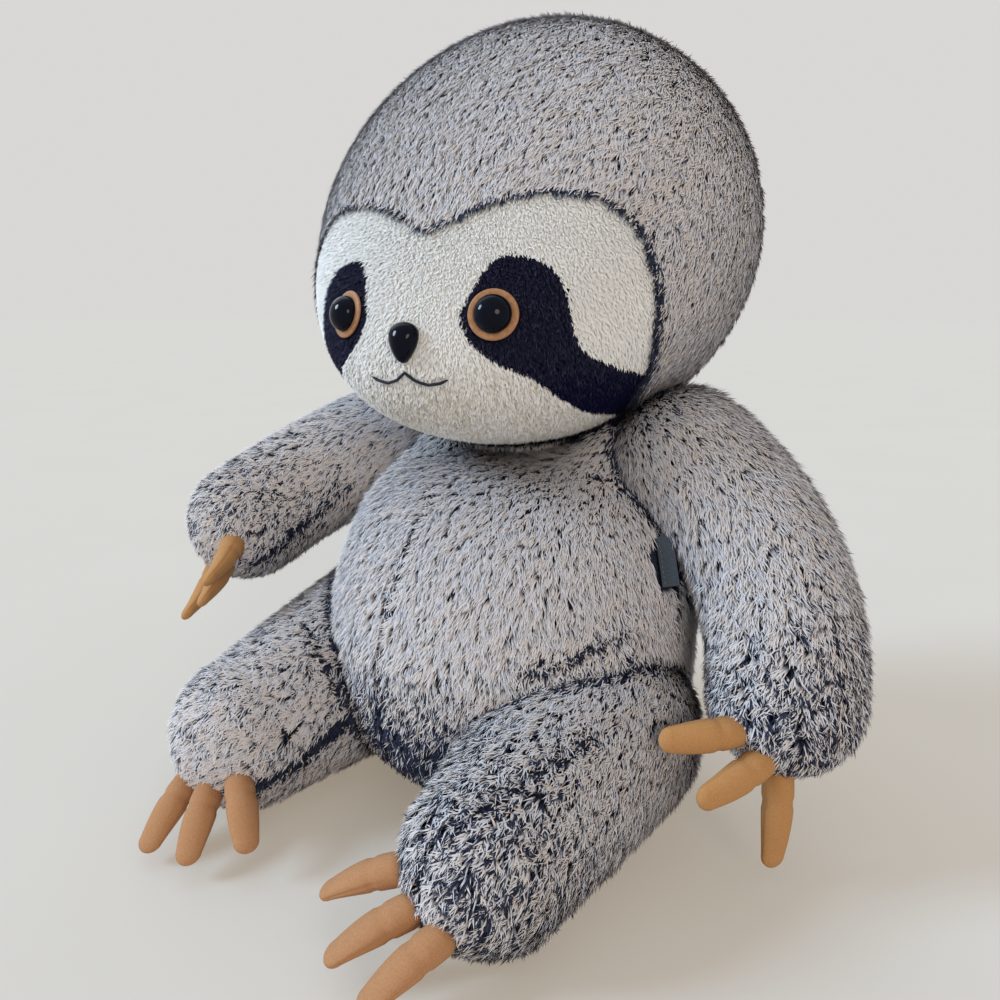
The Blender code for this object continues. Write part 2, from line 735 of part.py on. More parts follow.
    def turn_head(self, cutters):
        """Turns the head, and what cuts its pieces, about the neck."""
        self.empties["head_body"][0].rotation_euler.z = HEAD_TURN
        bpy.context.view_layer.update()
        there, back = Matrix.Translation(NECK_CENTRE), Matrix.Translation(-NECK_CENTRE)
        for cutter in cutters:
            cutter.matrix_world = there @ Matrix.Rotation(HEAD_TURN, 4, "Z") @ back @ cutter.matrix_world

    def fixing(self, name, place, normal, seat_radius, seat, carrier):
        """The flat seat, the shank's hole and the washer of a piece that is pressed through the cover."""
        through = normal * OVERRUN
        seat_room = cylinder_mesh(f"{name}_seat", seat_radius, seat, seat + through)
        boolean(carrier, self.cutter(f"{name}_seat", seat_room))
        hole = cylinder_mesh(f"{name}_hole", SHANK_RADIUS + SEAM_GAP, place - through, place + through)
        boolean(carrier, self.cutter(f"{name}_hole", hole))
        back = place - normal * (COVER_WALL + WASHER_DROP)
        tail = back - normal * (WASHER_THICKNESS + SHANK_TAIL)
        bore = SHANK_RADIUS + SEAT_GAP
        profile = [
            (WASHER_RADIUS, 0), (WASHER_RADIUS, -WASHER_THICKNESS), (bore, -WASHER_THICKNESS), (bore, 0),
        ]
        washer_name = name.replace("eye", "eye_washer") if name.startswith("eye") else f"{name}_washer"
        washer = turned_object(washer_name, profile, self.parts, aligned(normal, back))
        washer.data.materials.append(new_material(washer_name, WASHER_WHITE))
        self.carry_turned(washer)
        room = WASHER_RADIUS + SEAM_GAP
        pocket = cylinder_mesh(f"{name}_pocket", room, tail - normal * STUFFING_GAP, place + normal * OVERRUN)
        boolean(self.head_stuffing, self.cutter(f"{name}_pocket", pocket))
        return tail

    def carry_turned(self, obj):
        placed = obj.matrix_world.copy()
        empty, place = self.empties["head_body"]
        obj.parent = empty
        obj.matrix_parent_inverse = Matrix.Translation(-place)
        obj.matrix_basis = placed
        obj.data.update()
        return obj

    def eye(self, side, word, patch):
        place, normal = eye_frame(side)
        seat = place - normal * SEAT_DEPTH
        tail = self.fixing(f"eye_{word}", place, normal, EYE_RING_RADIUS + SEAM_GAP, seat, patch)
        ring_back = SEAT_GAP
        ring_front = ring_back + EYE_RING_THICKNESS
        bore = SHANK_RADIUS + SEAT_GAP
        edge = EYE_RING_RADIUS - EYE_RING_EDGE
        ring_profile = [
            (edge, ring_front), (EYE_RING_RADIUS, ring_front - EYE_RING_EDGE), (EYE_RING_RADIUS, ring_back),
            (bore, ring_back), (bore, ring_front),
        ]
        ring = turned_object(f"eye_ring_{word}", ring_profile, self.parts, aligned(normal, seat))
        ring.data.materials.append(new_material(f"eye_ring_{word}", LEATHER_TAN))
        self.carry_turned(ring)
        base = ring_front + SEAT_GAP
        dome = [
            (EYE_RADIUS * math.sin(QUARTER_TURN * step / DOME_STEPS),
             base + EYE_RIM + EYE_DOME * math.cos(QUARTER_TURN * step / DOME_STEPS))
            for step in range(DOME_STEPS + 1)
        ]
        end = -(seat - tail).length
        profile = dome + [(EYE_RADIUS, base), (SHANK_RADIUS, base), (SHANK_RADIUS, end), (0, end)]
        eye = turned_object(f"eye_{word}", profile, self.parts, aligned(normal, seat))
        eye.data.materials.append(new_material(f"eye_{word}", GLOSS_BLACK))
        self.carry_turned(eye)

    def nose(self, panel):
        place, normal = nose_frame()
        seat = place - normal * SEAT_DEPTH
        tail = self.fixing("nose", place, normal, NOSE_HALF_WIDTH * (1 + NOSE_TAPER_SHARE), seat, panel)
        placed = aligned(normal, seat + normal * SEAT_GAP)

        def nose_point(unit):
            out = max(0, unit.z)
            across = NOSE_HALF_WIDTH * unit.x * (1 + NOSE_TAPER_SHARE * unit.y)
            return placed @ Vector((across, NOSE_HALF_HEIGHT * unit.y, NOSE_DEPTH * out))

        mesh = sphere_mesh("nose", BAG_FACES, nose_point)
        nose = self.part("nose", mesh, GLOSS_BLACK, "head_body")
        bar = cylinder_mesh("nose_shank", SHANK_RADIUS, tail, seat + normal * NOSE_DEPTH / 2)
        boolean(nose, self.cutter("nose_shank", bar), "UNION")

    def mouth(self):
        """One thread laid on the face, through points that its curve is read from."""
        half = [(x * MOUTH_HALF_WIDTH, -z * MOUTH_DIP) for x, z in MOUTH_HALF_SHARES]
        knots = [(-x, z) for x, z in reversed(half[1:])] + half
        lift = THREAD_RADIUS + SEAT_GAP
        middle = HEAD_CENTRE.z - MOUTH_DROP
        face = flats(HEAD_FACES, head_point)
        curve = bpy.data.curves.new("mouth_stitching", "CURVE")
        curve.dimensions = "3D"
        curve.bevel_depth = THREAD_RADIUS
        curve.bevel_resolution = 1
        curve.use_fill_caps = True
        places = []
        for index in range(len(knots) - 1):
            for step in range(MOUTH_STEPS):
                places.append(smooth_between(knots, index, step / MOUTH_STEPS))
        places.append(knots[-1])
        spline = curve.splines.new("POLY")
        spline.points.add(len(places) - 1)
        for point, (across, rise) in zip(spline.points, places):
            on_face = face.find_nearest(face_point(across, middle + rise))[0]
            point.co = (*(on_face + face_normal(across, middle + rise) * lift), 1)
        drawn = bpy.data.objects.new("mouth_outline", curve)
        self.parts.objects.link(drawn)
        mesh = weld(evaluated_mesh(drawn))
        bpy.data.objects.remove(drawn, do_unlink=True)
        mesh.materials.clear()
        self.part("mouth_stitching", mesh, THREAD_BLACK, "head_body")

    def limb(self, name, form, body, is_leg):
        """A limb's cover, open inside its seam, and its stuffing."""
        def place(unit):
            return limb_point(form, unit)

        outside = sphere_mesh(f"{name}_cover", LIMB_FACES, place, -1)
        cover = self.part(f"{name}_cover", outside, FUR_GREY, body)
        solidify(cover)
        inner = inset(place, COVER_WALL + STUFFING_GAP)
        filling = sphere_mesh(f"{name}_stuffing", LEG_STUFFING_FACES if is_leg else ARM_STUFFING_FACES, inner)
        stuffing = self.part(f"{name}_stuffing", filling, WADDING_WHITE, body)
        if is_leg:
            relief = self.body_relief(name, form)
            boolean(cover, relief)
            boolean(stuffing, relief)
            boolean(cover, self.ground)
        return cover, stuffing

    def body_relief(self, name, form):
        """The torso's form less the leg's own root ball: what the leg gives way to beyond its seam."""
        pressed = sphere_mesh(f"{name}_relief", TORSO_FACES, inset(torso_point, -BODY_GAP))
        relief = self.cutter(f"{name}_relief", pressed)
        root, tangent, side, up = limb_frame(form, 0)
        radius = form["radii"][0] + SEAT_GAP / 2

        def root_point(unit):
            return root + (side * unit.x + up * unit.y + tangent * unit.z) * radius

        boolean(relief, self.cutter(f"{name}_root", sphere_mesh(f"{name}_root", LIMB_FACES, root_point)))
        return relief

    def limbs_and_claws(self):
        covers = {}
        for paw_name, form, _, _ in paws():
            is_leg = paw_name.endswith("foot")
            name = paw_name.replace("hand", "arm").replace("foot", "leg")
            covers[paw_name] = self.limb(name, form, f"{paw_name}_body", is_leg)
        for name, paw_name, form in claws():
            pivot = form["axis"][0]
            mesh = sphere_mesh(name, CLAW_FACES, lambda unit, form=form: limb_point(form, unit))
            self.part(name, mesh, SUEDE_TAN, f"{paw_name}_body", pivot)
            room = around_ball(CLAW_ROOT_RADIUS, BALL_GAP, CLAW_FACES)
            socket = self.cutter(f"{name}_socket", ball_mesh(f"{name}_socket", pivot, room, CLAW_FACES))
            for piece in covers[paw_name]:
                boolean(piece, socket)

    def label(self):
        """A flat folded tab whose long edge is sewn in the side seam."""
        hinge, along, outward = label_hinge()
        bm = bmesh.new()
        bmesh.ops.create_cube(bm, size=1)
        bmesh.ops.scale(bm, vec=(LABEL_WIDTH, LABEL_THICKNESS, LABEL_LENGTH), verts=bm.verts)
        bmesh.ops.translate(bm, vec=(LABEL_WIDTH / 2, 0, 0), verts=bm.verts)
        turned = Matrix((outward, along.cross(outward), along)).transposed().to_4x4()
        bm.transform(Matrix.Translation(hinge) @ turned)
        mesh = bpy.data.meshes.new("side_label")
        bm.to_mesh(mesh)
        bm.free()
        label = self.part("side_label", mesh, LABEL_SLATE, "label_body")
        bevel = label.modifiers.new("soft_edge", "BEVEL")
        bevel.width = LABEL_EDGE
        bevel.segments = 2


def smooth_between(knots, index, share):
    """Catmull-Rom curve through the knots, at a share of the way from knot index to the next."""
    last = len(knots) - 1
    before, here = Vector(knots[max(0, index - 1)]), Vector(knots[index])
    after, beyond = Vector(knots[min(last, index + 1)]), Vector(knots[min(last, index + 2)])
    start, end = (after - before) / 2, (beyond - here) / 2
    square, cube = share * share, share ** 3
    return (here * (2 * cube - 3 * square + 1) + start * (cube - 2 * square + share)
            + after * (3 * square - 2 * cube) + end * (cube - square))


def torso_side(forward, height):
    """Point of the torso's left side at a height and a distance forward of its middle."""
    share = (height - TORSO_WIDEST) / (TORSO_HEIGHT - TORSO_WIDEST)
    full = (1 - share ** TORSO_TOP_POWER) ** (1 / TORSO_TOP_POWER)
    sine = (forward + TORSO_LEAN * share) / (TORSO_FRONT_DEPTH * full)
    return Vector((TORSO_HALF_WIDTH * full * math.sqrt(1 - sine * sine), -forward, height))


def label_hinge():
    """Place and direction of the label's sewn edge, on a flat of the torso, and the way it points."""
    above = torso_side(LABEL_FORWARD, LABEL_HEIGHT + LABEL_LENGTH / 2)
    below = torso_side(LABEL_FORWARD, LABEL_HEIGHT - LABEL_LENGTH / 2)
    middle = torso_side(LABEL_FORWARD, LABEL_HEIGHT)
    point, normal, _, _ = flats(TORSO_FACES, torso_point).find_nearest(middle)
    rise = above - below
    level = (rise - normal * rise.dot(normal)).normalized()
    along = Matrix.Rotation(-LABEL_TILT, 3, normal) @ level
    outward = Matrix.Rotation(LABEL_SWING, 3, along) @ normal
    lift = LABEL_THICKNESS / 2 * math.sin(LABEL_SWING) + SEAT_GAP
    return point + normal * lift, along, outward


def main():
    clear_scene()
    sloth = Sloth()
    sloth.body_empties()
    sloth.floor()
    sloth.sockets()
    sloth.torso()
    sloth.neck()
    sloth.head()
    sloth.limbs_and_claws()
    sloth.label()
    bpy.context.view_layer.update()


main()
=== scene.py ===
"""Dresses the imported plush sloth: frosted long pile, a short-pile face, glossy eyes and nose, suede claws."""

import json
import math

import bpy
import numpy as np
from mathutils import Matrix, Vector
from mathutils.kdtree import KDTree


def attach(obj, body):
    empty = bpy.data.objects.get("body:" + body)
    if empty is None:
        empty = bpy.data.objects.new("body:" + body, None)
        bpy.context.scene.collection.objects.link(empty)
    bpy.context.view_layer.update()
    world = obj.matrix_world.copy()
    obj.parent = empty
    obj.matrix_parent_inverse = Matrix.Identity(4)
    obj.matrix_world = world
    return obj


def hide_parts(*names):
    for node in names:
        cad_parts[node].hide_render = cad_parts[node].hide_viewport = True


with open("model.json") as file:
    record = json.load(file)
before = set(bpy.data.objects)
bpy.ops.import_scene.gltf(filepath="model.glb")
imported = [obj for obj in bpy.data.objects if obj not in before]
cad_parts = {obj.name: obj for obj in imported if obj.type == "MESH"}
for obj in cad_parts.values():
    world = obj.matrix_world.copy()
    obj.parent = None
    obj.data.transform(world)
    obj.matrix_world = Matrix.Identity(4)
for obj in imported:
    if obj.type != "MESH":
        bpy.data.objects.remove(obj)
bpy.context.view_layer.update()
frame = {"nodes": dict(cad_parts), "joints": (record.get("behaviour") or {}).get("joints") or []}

SEED = 20
UV_NAME = "OFBake"

# Camera, in metres and degrees
CAMERA_PLACE = (0.404, -0.535, 0.411)
CAMERA_TURN = (76.26, 0.0, 38.0)
CAMERA_LENS, CAMERA_SENSOR = 27.7, 36.0

# Studio
STUDIO_SHADE = (0.690, 0.682, 0.668)
FLOOR_SHADES = ((0.345, 0.345, 0.345), (0.355, 0.355, 0.355))
FLOOR_GLOW = (0.254, 0.216, 0.168)
FLOOR_HALF = 40.0
# Suns: name, place, strength, spread in degrees, colour
SUNS = (
    ("window", (-1.3, -1.1, 1.3), 3.0, 18.0, (0.63, 0.82, 1.0)),
    ("room", (1.4, -1.0, 0.9), 1.1, 22.0, (1.0, 0.86, 0.70)),
    ("sky", (-1.0, 0.5, 1.4), 0.9, 60.0, (0.70, 0.86, 1.0)),
)
SUN_AIM = (0.0, 0.0, 0.3)

SIDES = ((1, "left"), (-1, "right"))

# Torso form, as in the solids
TORSO_HALF_WIDTH, TORSO_FRONT, TORSO_BACK = 0.170, 0.158, 0.130
TORSO_HEIGHT, TORSO_LEAN, TORSO_SINK = 0.292, 0.050, 0.004
TORSO_WIDEST = 0.51 * TORSO_HEIGHT
TORSO_TOP_POWER, TORSO_BOTTOM_POWER = 3.5, 3.0
SHOULDER_RISE, SHOULDER_TOP, SHOULDER_SPREAD = 0.044, (0.094, 0.030), 0.038
BEYOND_LEVEL = 1.02

# Head form, before it is turned about the neck
HEAD_CENTRE = np.array((-0.0185, 0.0537, 0.472))
HEAD_RADII = np.array((0.198, 0.097, 0.176))
HEAD_TURN = math.radians(10.0)
FACE_FULLNESS, CHEEK_FALL, CHEEK_CURL = 0.072, 0.103, 0.062
CHIN_AIM = np.array((-0.0185, -0.09, 0.21))

# Neck ball, shoulders and hips
NECK_CENTRE, NECK_RADIUS = np.array((-0.0185, 0.052, 0.298)), 0.060
SHOULDER = np.array((0.154, 0.042, 0.288))
HIP = np.array((0.120, -0.045, 0.085))
ARM_ROOT, ARM_HAND, ELBOW, HAND = 0.056, 0.056, (0.092, 0.0, -0.062), (0.104, -0.029, -0.164)
ARM_SHIFT = np.array((-0.009, -0.004, 0.009))
RIGHT_ARM_RAISE = math.radians(48.6)
LEG_SHAPES = {
    1: {"radii": (0.081, 0.059), "foot": (0.006, -0.145, -0.0265), "raise": 0.0},
    -1: {"radii": (0.088, 0.064), "foot": (0.012, -0.150, -0.0295), "raise": 0.008},
}
LEG_ROOT = 0.080
ARMHOLE_START, ARMHOLE_DEPTH, ARMHOLE_RADII = 0.124, 0.050, (0.040, 0.073)
LIMB_SWELL = 0.001

# Columns and rows of each skin, and of the cells over which tufts are spread
GRIDS = {
    "torso": (120, 80), "head": (220, 160), "face": (300, 220), "neck": (40, 24),
    "arm": (48, 72), "leg": (56, 80), "claw": (72, 72), "nose": (48, 32),
}
CELLS, FACE_CELLS = (220, 160), (260, 190)

# Face outline: half of it from the brow notch down to the chin, as (across from the head's middle, height)
FACE_HALF = (
    (0.0, 0.4685), (0.0366, 0.4835), (0.0720, 0.4912), (0.1075, 0.4891), (0.1327, 0.4748),
    (0.1463, 0.4520), (0.1520, 0.4257), (0.1508, 0.3986), (0.1440, 0.3740), (0.1290, 0.3500),
    (0.1065, 0.3290), (0.0650, 0.3105), (0.0, 0.3020),
)
PATCH = (
    (0.0400, 0.4130), (0.0532, 0.4440), (0.0686, 0.4495), (0.0884, 0.4433), (0.1010, 0.4297),
    (0.1071, 0.4094), (0.1137, 0.3859), (0.1302, 0.3723), (0.1500, 0.3569), (0.1401, 0.3322),
    (0.1220, 0.3260), (0.1027, 0.3353), (0.0950, 0.3501), (0.0829, 0.3668), (0.0642, 0.3773),
    (0.0499, 0.3890), (0.0422, 0.4001),
)
EYE = (0.0617, 0.4093)
EYE_RING_RADIUS, EYE_RADIUS, EYE_DOME = 0.0175, 0.0130, 0.0100
RING_SINK, RING_BACK, RING_FRONT = 0.0019, 0.0004, 0.0034
RING_EDGE, RING_LIP, RING_RECESS = 0.0011, 0.0009, 0.0005
EYE_SEAT, EYE_WALL, EYE_STEPS = 0.0002, 0.0008, 16
NOSE_HEIGHT, NOSE_HALF, NOSE_DEPTH, NOSE_SINK = 0.3902, 0.0106, 0.0115, 0.001
NOSE_TAPER, NOSE_TALL, NOSE_ROUND = 0.42, 1.34, 0.35
MOUTH_HEIGHT, MOUTH_HALF, MOUTH_DIP, MOUTH_LIFT = 0.3698, 0.032, 0.008, 0.0012
# The mouth's dip at shares of its half width
MOUTH_SHARES = ((0.0, 0.0), (0.25, 0.70), (0.53, 1.0), (0.80, 0.82), (1.0, 0.50))
# Thread: radius, how fast it swells from its ends and how thin they are, its twist's depth and step
THREAD_RADIUS, THREAD_ENDS, THREAD_TWIST = 0.0011, (14, 0.35), (0.10, 2.4)
MOUTH_POINTS, THREAD_SIDES, STITCH_SIDES = 40, 10, 6
FACE_BACK = 0.02

# Pile: spacing, length, width, lean from the cloth at root and tip in degrees, and how its clumps close
LONG_PILE = {
    "spacing": 0.0013, "length": 0.0120, "width": 0.0011,
    "lean": (44.0, 13.0), "clump": 0.0044, "pull": 0.60,
}
HEAD_PILE = {
    "spacing": 0.0013, "length": 0.0105, "width": 0.0011,
    "lean": (20.0, 3.0), "clump": 0.0036, "pull": 0.36,
}
SHORT_PILE = {
    "spacing": 0.0011, "length": 0.0042, "width": 0.0009,
    "lean": (50.0, 22.0), "clump": 0.0024, "pull": 0.18,
}
PIECE_TUFTS = 60000
# How far painted shade reaches from where the pile meets a neighbour, and how far the face's fringe reaches
JOIN_SHADE_REACH, FRINGE_REACH = 0.007, 0.005
# How far pressed cloth, cloth, tuft roots and the neck's cloth lie inside their forms
PRESS_INSET, SKIN_INSET, ROOT_INSET, NECK_INSET = 0.004, 0.003, 0.0025, 0.001
FLOOR_CLEAR = 0.0004

# One tuft: where it bends and how wide it is there, how tufts differ, and how clumps and mess change them
TUFT_CORNERS, TUFT_LOOPS = 5, 7
BEND_SHARE, BEND_WIDTH = 0.45, 0.85
LENGTH_SHARES, WIDTH_SHARES = (0.75, 1.2), (0.75, 1.25)
TURN_SPREAD, LEAN_SPREAD = 0.20, 0.10
CLUMP_TURN, CLUMP_LEAN, CLUMP_PULL = 0.5, 0.3, 0.8
MESS_SHORTER, MESS_WIDER, MESS_PULL = 0.12, 0.35, 0.9

# Tones: how a tuft's own draw and its clump's mix, where they lie in the pile's UV map, and how far a tuft
# is shaded like the form under it
PALE_TONE, DARK_TONES, TONE_LIMITS = 0.14, (0.01, 0.09), (0.01, 0.98)
TONE_MIX, DARK_MIX = (0.6, 0.4), (0.7, 0.3)
TUFT_RUN = (0.02, 0.02, 0.5, 0.5, 0.98)
# How far painted light moves a tuft's root up the colour run, and half a tuft's width in tone
PAINTED_LIGHT_RUN, TONE_HALF = 0.36, 0.004
OUT_SHADE = 0.62

# Room left at the neighbours, and how deep pile runs under them, under the nose as a share of its half width
SKIN_ROOM, HEAD_ROOM, LIMB_HEAD_ROOM, LABEL_ROOM = 0.001, 0.004, 0.002, 0.002
TORSO_FLOOR_ROOM, LIMB_FLOOR_ROOM = 0.004, 0.003
UNDER_ARM, UNDER_LEG, UNDER_HEAD, UNDER_TORSO = 0.004, 0.034, 0.014, 0.002
UNDER_RING, UNDER_NOSE = 0.001, 0.8

# Where the pile darkens, pales or grows untidy, from where to where, and by how much; the darkening low on the
# torso and where the pile joins a neighbour is painted shade, and the paling on the head's rim is painted light
# Painted shade: more dark tufts low on the torso, most on its front; the first dark share is the pile's own
# dark tufts, and the mess is untidier pile low down
TORSO_LOW, TORSO_SHADE_FACING = (0.185, 0.070), (0.02, -0.09)
TORSO_DARK_AND_SHADE, TORSO_MESS = (0.04, 0.10, 0.58), (0.15, 0.75)
# Painted shade: share of dark tufts where the pile meets a neighbour, smaller at the back, which starts here
JOIN_SHADE, BACK_JOIN_SHADE, BACK_START = 0.80, 0.35, 0.05
# The rim ranges set where painted light makes the roots lighter: the head's back, its side toward the window
# light and its top
HEAD_FAR, RIM_LIGHT_BACK, RIM_LIGHT_SIDE, RIM_LIGHT_TOP = (0.02, 0.16), (0.0, 0.5), (0.30, 0.75), (0.72, 0.98)
HEAD_DARK, HEAD_MESS = (0.02, 0.10, 0.80), (0.35, 0.7)
FRINGE_LONGER, FRINGE_LIFT = 0.05, 0.28
PATCH_TAIL, PATCH_DARK, PATCH_MESS = (0.395, 0.340), 0.8, 0.3
CHIN, CHIN_DARK, CHIN_MESS = (0.405, 0.330), 0.55, 0.9
FACE_LONGER, FACE_LIFT = 0.35, 0.1
LIMB_END, LIMB_DROOP, LIMB_MESS = (0.3, 1.0), (0.0, 0.0, -0.35), (0.25, 0.75)
PRESSED_LEVEL = 0.90
# Share of the usual length, lift, share of dark tufts and mess of two plain piles
PRESSED_PILE, NECK_PILE = (0.55, -0.25, 0.25, 0.2), (1.0, 0.0, 0.3, 0.3)
# Share of dark tufts at each limb's root and at its end
PILE_DARK = {
    "left_arm": (0.10, 0.38), "right_arm": (0.15, 0.30),
    "left_leg": (0.12, 0.36), "right_leg": (0.08, 0.20),
}

# Seams and folds of each body: (line of points, half width, depth, share of dark tufts, which is painted shade)
CREASES = {
    "torso": [
        (((-0.012, -0.085, 0.265), (-0.009, -0.104, 0.249), (-0.010, -0.127, 0.217), (-0.012, -0.140, 0.188),
          (-0.009, -0.153, 0.155), (-0.011, -0.154, 0.112), (-0.015, -0.145, 0.066), (-0.015, -0.120, 0.020)),
         0.0034, 0.0035, 0.50),
        (((0.104, -0.116, 0.158), (0.125, -0.098, 0.167), (0.141, -0.079, 0.176), (0.153, -0.058, 0.183)),
         0.0078, 0.0050, 0.55),
        (((0.095, -0.020, 0.287), (0.118, 0.000, 0.272), (0.140, 0.000, 0.252), (0.152, -0.002, 0.230),
          (0.160, -0.006, 0.205), (0.168, -0.010, 0.175)), 0.0036, 0.0035, 0.90),
    ],
    "left_arm": [
        (((0.272, -0.031, 0.150), (0.277, -0.031, 0.110)), 0.0140, 0.0020, 0.40),
    ],
    "right_arm": [
        (((-0.178, -0.034, 0.257), (-0.194, -0.060, 0.228), (-0.204, -0.096, 0.204), (-0.215, -0.123, 0.185)),
         0.0070, 0.0030, 0.75),
    ],
    "left_leg": [
        (((0.163, -0.121, 0.128), (0.157, -0.151, 0.122), (0.146, -0.184, 0.114), (0.138, -0.206, 0.108),
          (0.131, -0.225, 0.101), (0.121, -0.239, 0.083), (0.112, -0.245, 0.062)), 0.0058, 0.0045, 0.50),
        (((0.146, -0.236, 0.082), (0.160, -0.232, 0.062)), 0.0150, 0.0020, 0.40),
    ],
    "right_leg": [
        (((-0.052, -0.125, 0.090), (-0.062, -0.147, 0.080), (-0.069, -0.170, 0.068), (-0.075, -0.192, 0.056),
          (-0.083, -0.215, 0.050), (-0.093, -0.229, 0.045)), 0.0070, 0.0055, 0.95),
        (((-0.146, -0.230, 0.100), (-0.146, -0.230, 0.092)), 0.0050, 0.0030, 0.70),
        (((-0.113, -0.142, 0.138), (-0.085, -0.152, 0.116), (-0.066, -0.151, 0.092)), 0.0060, 0.0040, 0.70),
    ],
}
# How far off the surface and how wide around itself a crease acts, and what it does to the pile
CREASE_REACH, CREASE_AROUND = 0.012, 2.2
CREASE_SINK, CREASE_STRAIGHT, CREASE_PART = 0.5, 0.30, 0.55
CREASE_SHADE, CREASE_SHORTER, CREASE_LIFT = 0.15, 0.20, 0.18

# Claws: sizes, the fold's depth, place and width, the seam's depth and width, and where it fades
CLAW_SIZES = {"root": 0.0112, "tip": 0.0096, "swell": 0.0016, "reach": 0.049, "curl": 0.003, "flat": 0.52}
LOWER_CLAW = 1.16
CLAW_FOLD, CLAW_SEAM, CLAW_SEAM_ENDS = (0.10, 0.30, 0.05), (0.05, 0.14), ((0.0, 0.4), (1.9, 1.4))
CLAW_SHIFTS = {
    "left_hand": (-0.014, 0.0, 0.002), "right_hand": (0.014, 0.0, 0.0),
    "left_foot": (-0.009, 0.005, 0.003), "right_foot": (0.003, 0.0, 0.0),
}

# The label's seam end: its middle, and the ways along the seam, across it and through the cloth
LABEL_SEAM = {
    "middle": (0.1616, -0.0181, 0.2273), "along": (-0.323, 0.234, 0.917),
    "across": (-0.869, -0.456, -0.190), "through": (-0.374, 0.859, -0.351),
}
STITCH = {"radius": 0.00024, "half": 0.0012, "pitch": 0.0040, "row": 0.0042, "lift": 0.00085, "bow": 0.00012}
STITCH_SHAPE, STITCH_ASIDE, STITCHES = (0.45, 1.0, 0.45), (0.3, 0.9, 0.3), range(-4, 5)


# Numbers for many points at once
def unit(vectors):
    length = np.linalg.norm(vectors, axis=-1, keepdims=True)
    return vectors / np.maximum(length, 1e-12)


def dot(a, b):
    return (a * b).sum(-1, keepdims=True)


def smooth_step(low, high, value):
    share = np.clip((value - low) / (high - low), 0, 1)
    return share * share * (3 - 2 * share)


def bell(value, width):
    return np.exp(-(value / width) ** 2)


def mirrored(points, side):
    return np.asarray(points) * np.array((side, 1, 1))


# Forms: each takes points of the unit sphere to points of the soft form
def torso_form(u):
    share = u[:, 2]
    top = share > 0
    power = np.where(top, TORSO_TOP_POWER, TORSO_BOTTOM_POWER)
    full = np.maximum(0, 1 - np.abs(share) ** power) ** (1 / power)
    rise = np.where(top, TORSO_HEIGHT - TORSO_WIDEST, TORSO_WIDEST + TORSO_SINK)
    height = np.maximum(0, TORSO_WIDEST + rise * share)
    around = unit(u[:, :2])
    depth = np.where(around[:, 1] > 0, TORSO_BACK, TORSO_FRONT)
    back = TORSO_LEAN * np.maximum(0, share)
    x = TORSO_HALF_WIDTH * full * around[:, 0]
    y = depth * full * around[:, 1] + back
    from_top = (np.abs(x) - SHOULDER_TOP[0]) ** 2 + (y - SHOULDER_TOP[1]) ** 2
    height += SHOULDER_RISE * np.exp(-from_top / SHOULDER_SPREAD ** 2) * top
    return armholes(np.stack((x, y, height), 1))


def armholes(points):
    """Draws the torso in where the arms turn: a cone round each shoulder's axis."""
    away = np.hypot(points[:, 1] - SHOULDER[1], points[:, 2] - SHOULDER[2])
    inner, outer = ARMHOLE_RADII
    deepest = ARMHOLE_START + ARMHOLE_DEPTH * (away - inner) / (outer - inner)
    across = np.minimum(np.abs(points[:, 0]), np.maximum(deepest, ARMHOLE_START))
    points[:, 0] = np.copysign(across, points[:, 0])
    return points


def torso_level(points, grow=0.0):
    """Below 1 inside the torso, 1 on it; grow moves its side outward."""
    share = (points[:, 2] - TORSO_WIDEST) / np.where(
        points[:, 2] > TORSO_WIDEST, TORSO_HEIGHT + grow - TORSO_WIDEST, TORSO_WIDEST + TORSO_SINK)
    power = np.where(share > 0, TORSO_TOP_POWER, TORSO_BOTTOM_POWER)
    full = np.maximum(1e-4, 1 - np.minimum(1, np.abs(share)) ** power) ** (1 / power)
    y = points[:, 1] - TORSO_LEAN * np.maximum(0, share)
    depth = np.where(y > 0, TORSO_BACK, TORSO_FRONT) * full + grow
    level = np.hypot(points[:, 0] / (TORSO_HALF_WIDTH * full + grow), y / depth)
    return np.where(np.abs(share) > 1, np.maximum(level, BEYOND_LEVEL), level)


def about_neck(points, angle):
    """Points turned about the neck's upright axis."""
    c, s = math.cos(angle), math.sin(angle)
    return (points - NECK_CENTRE) @ np.array(((c, s, 0), (-s, c, 0), (0, 0, 1))) + NECK_CENTRE


def face_depth(height_share):
    """How far the head's front reaches at a height."""
    low = np.minimum(0, height_share)
    fullness = FACE_FULLNESS * (1 - np.maximum(0, height_share)) - CHEEK_FALL * low + CHEEK_CURL * low * low
    return HEAD_RADII[1] + fullness


def head_form(u):
    points = HEAD_CENTRE + HEAD_RADII * u
    front = u[:, 1] < 0
    points[front, 1] = HEAD_CENTRE[1] + (u[:, 1] * face_depth(u[:, 2]))[front]
    return about_neck(points, HEAD_TURN)


def face_units(across, height):
    """Unit points of the head's front, from places seen from its own front."""
    x = across / HEAD_RADII[0]
    z = (height - HEAD_CENTRE[2]) / HEAD_RADII[2]
    return np.stack((x, -np.sqrt(np.maximum(0, 1 - x * x - z * z)), z), 1)


def limb(root, elbow, tip, radii, up, swell=LIMB_SWELL, flat=1.0):
    return {"axis": tuple(np.asarray(p, float) for p in (root, elbow, tip)), "radii": radii,
            "up": np.asarray(up, float), "swell": swell, "flat": flat}


def arm(side):
    root = mirrored(SHOULDER + ARM_SHIFT, side)
    turn = -RIGHT_ARM_RAISE if side < 0 else 0.0
    c, s = math.cos(turn), math.sin(turn)
    turned = np.array(((1, 0, 0), (0, c, -s), (0, s, c)))
    elbow, hand = (turned @ mirrored(p, side) for p in (ELBOW, HAND))
    return limb(root, root + elbow, root + hand, (ARM_ROOT, ARM_HAND), (0, -1, 0))


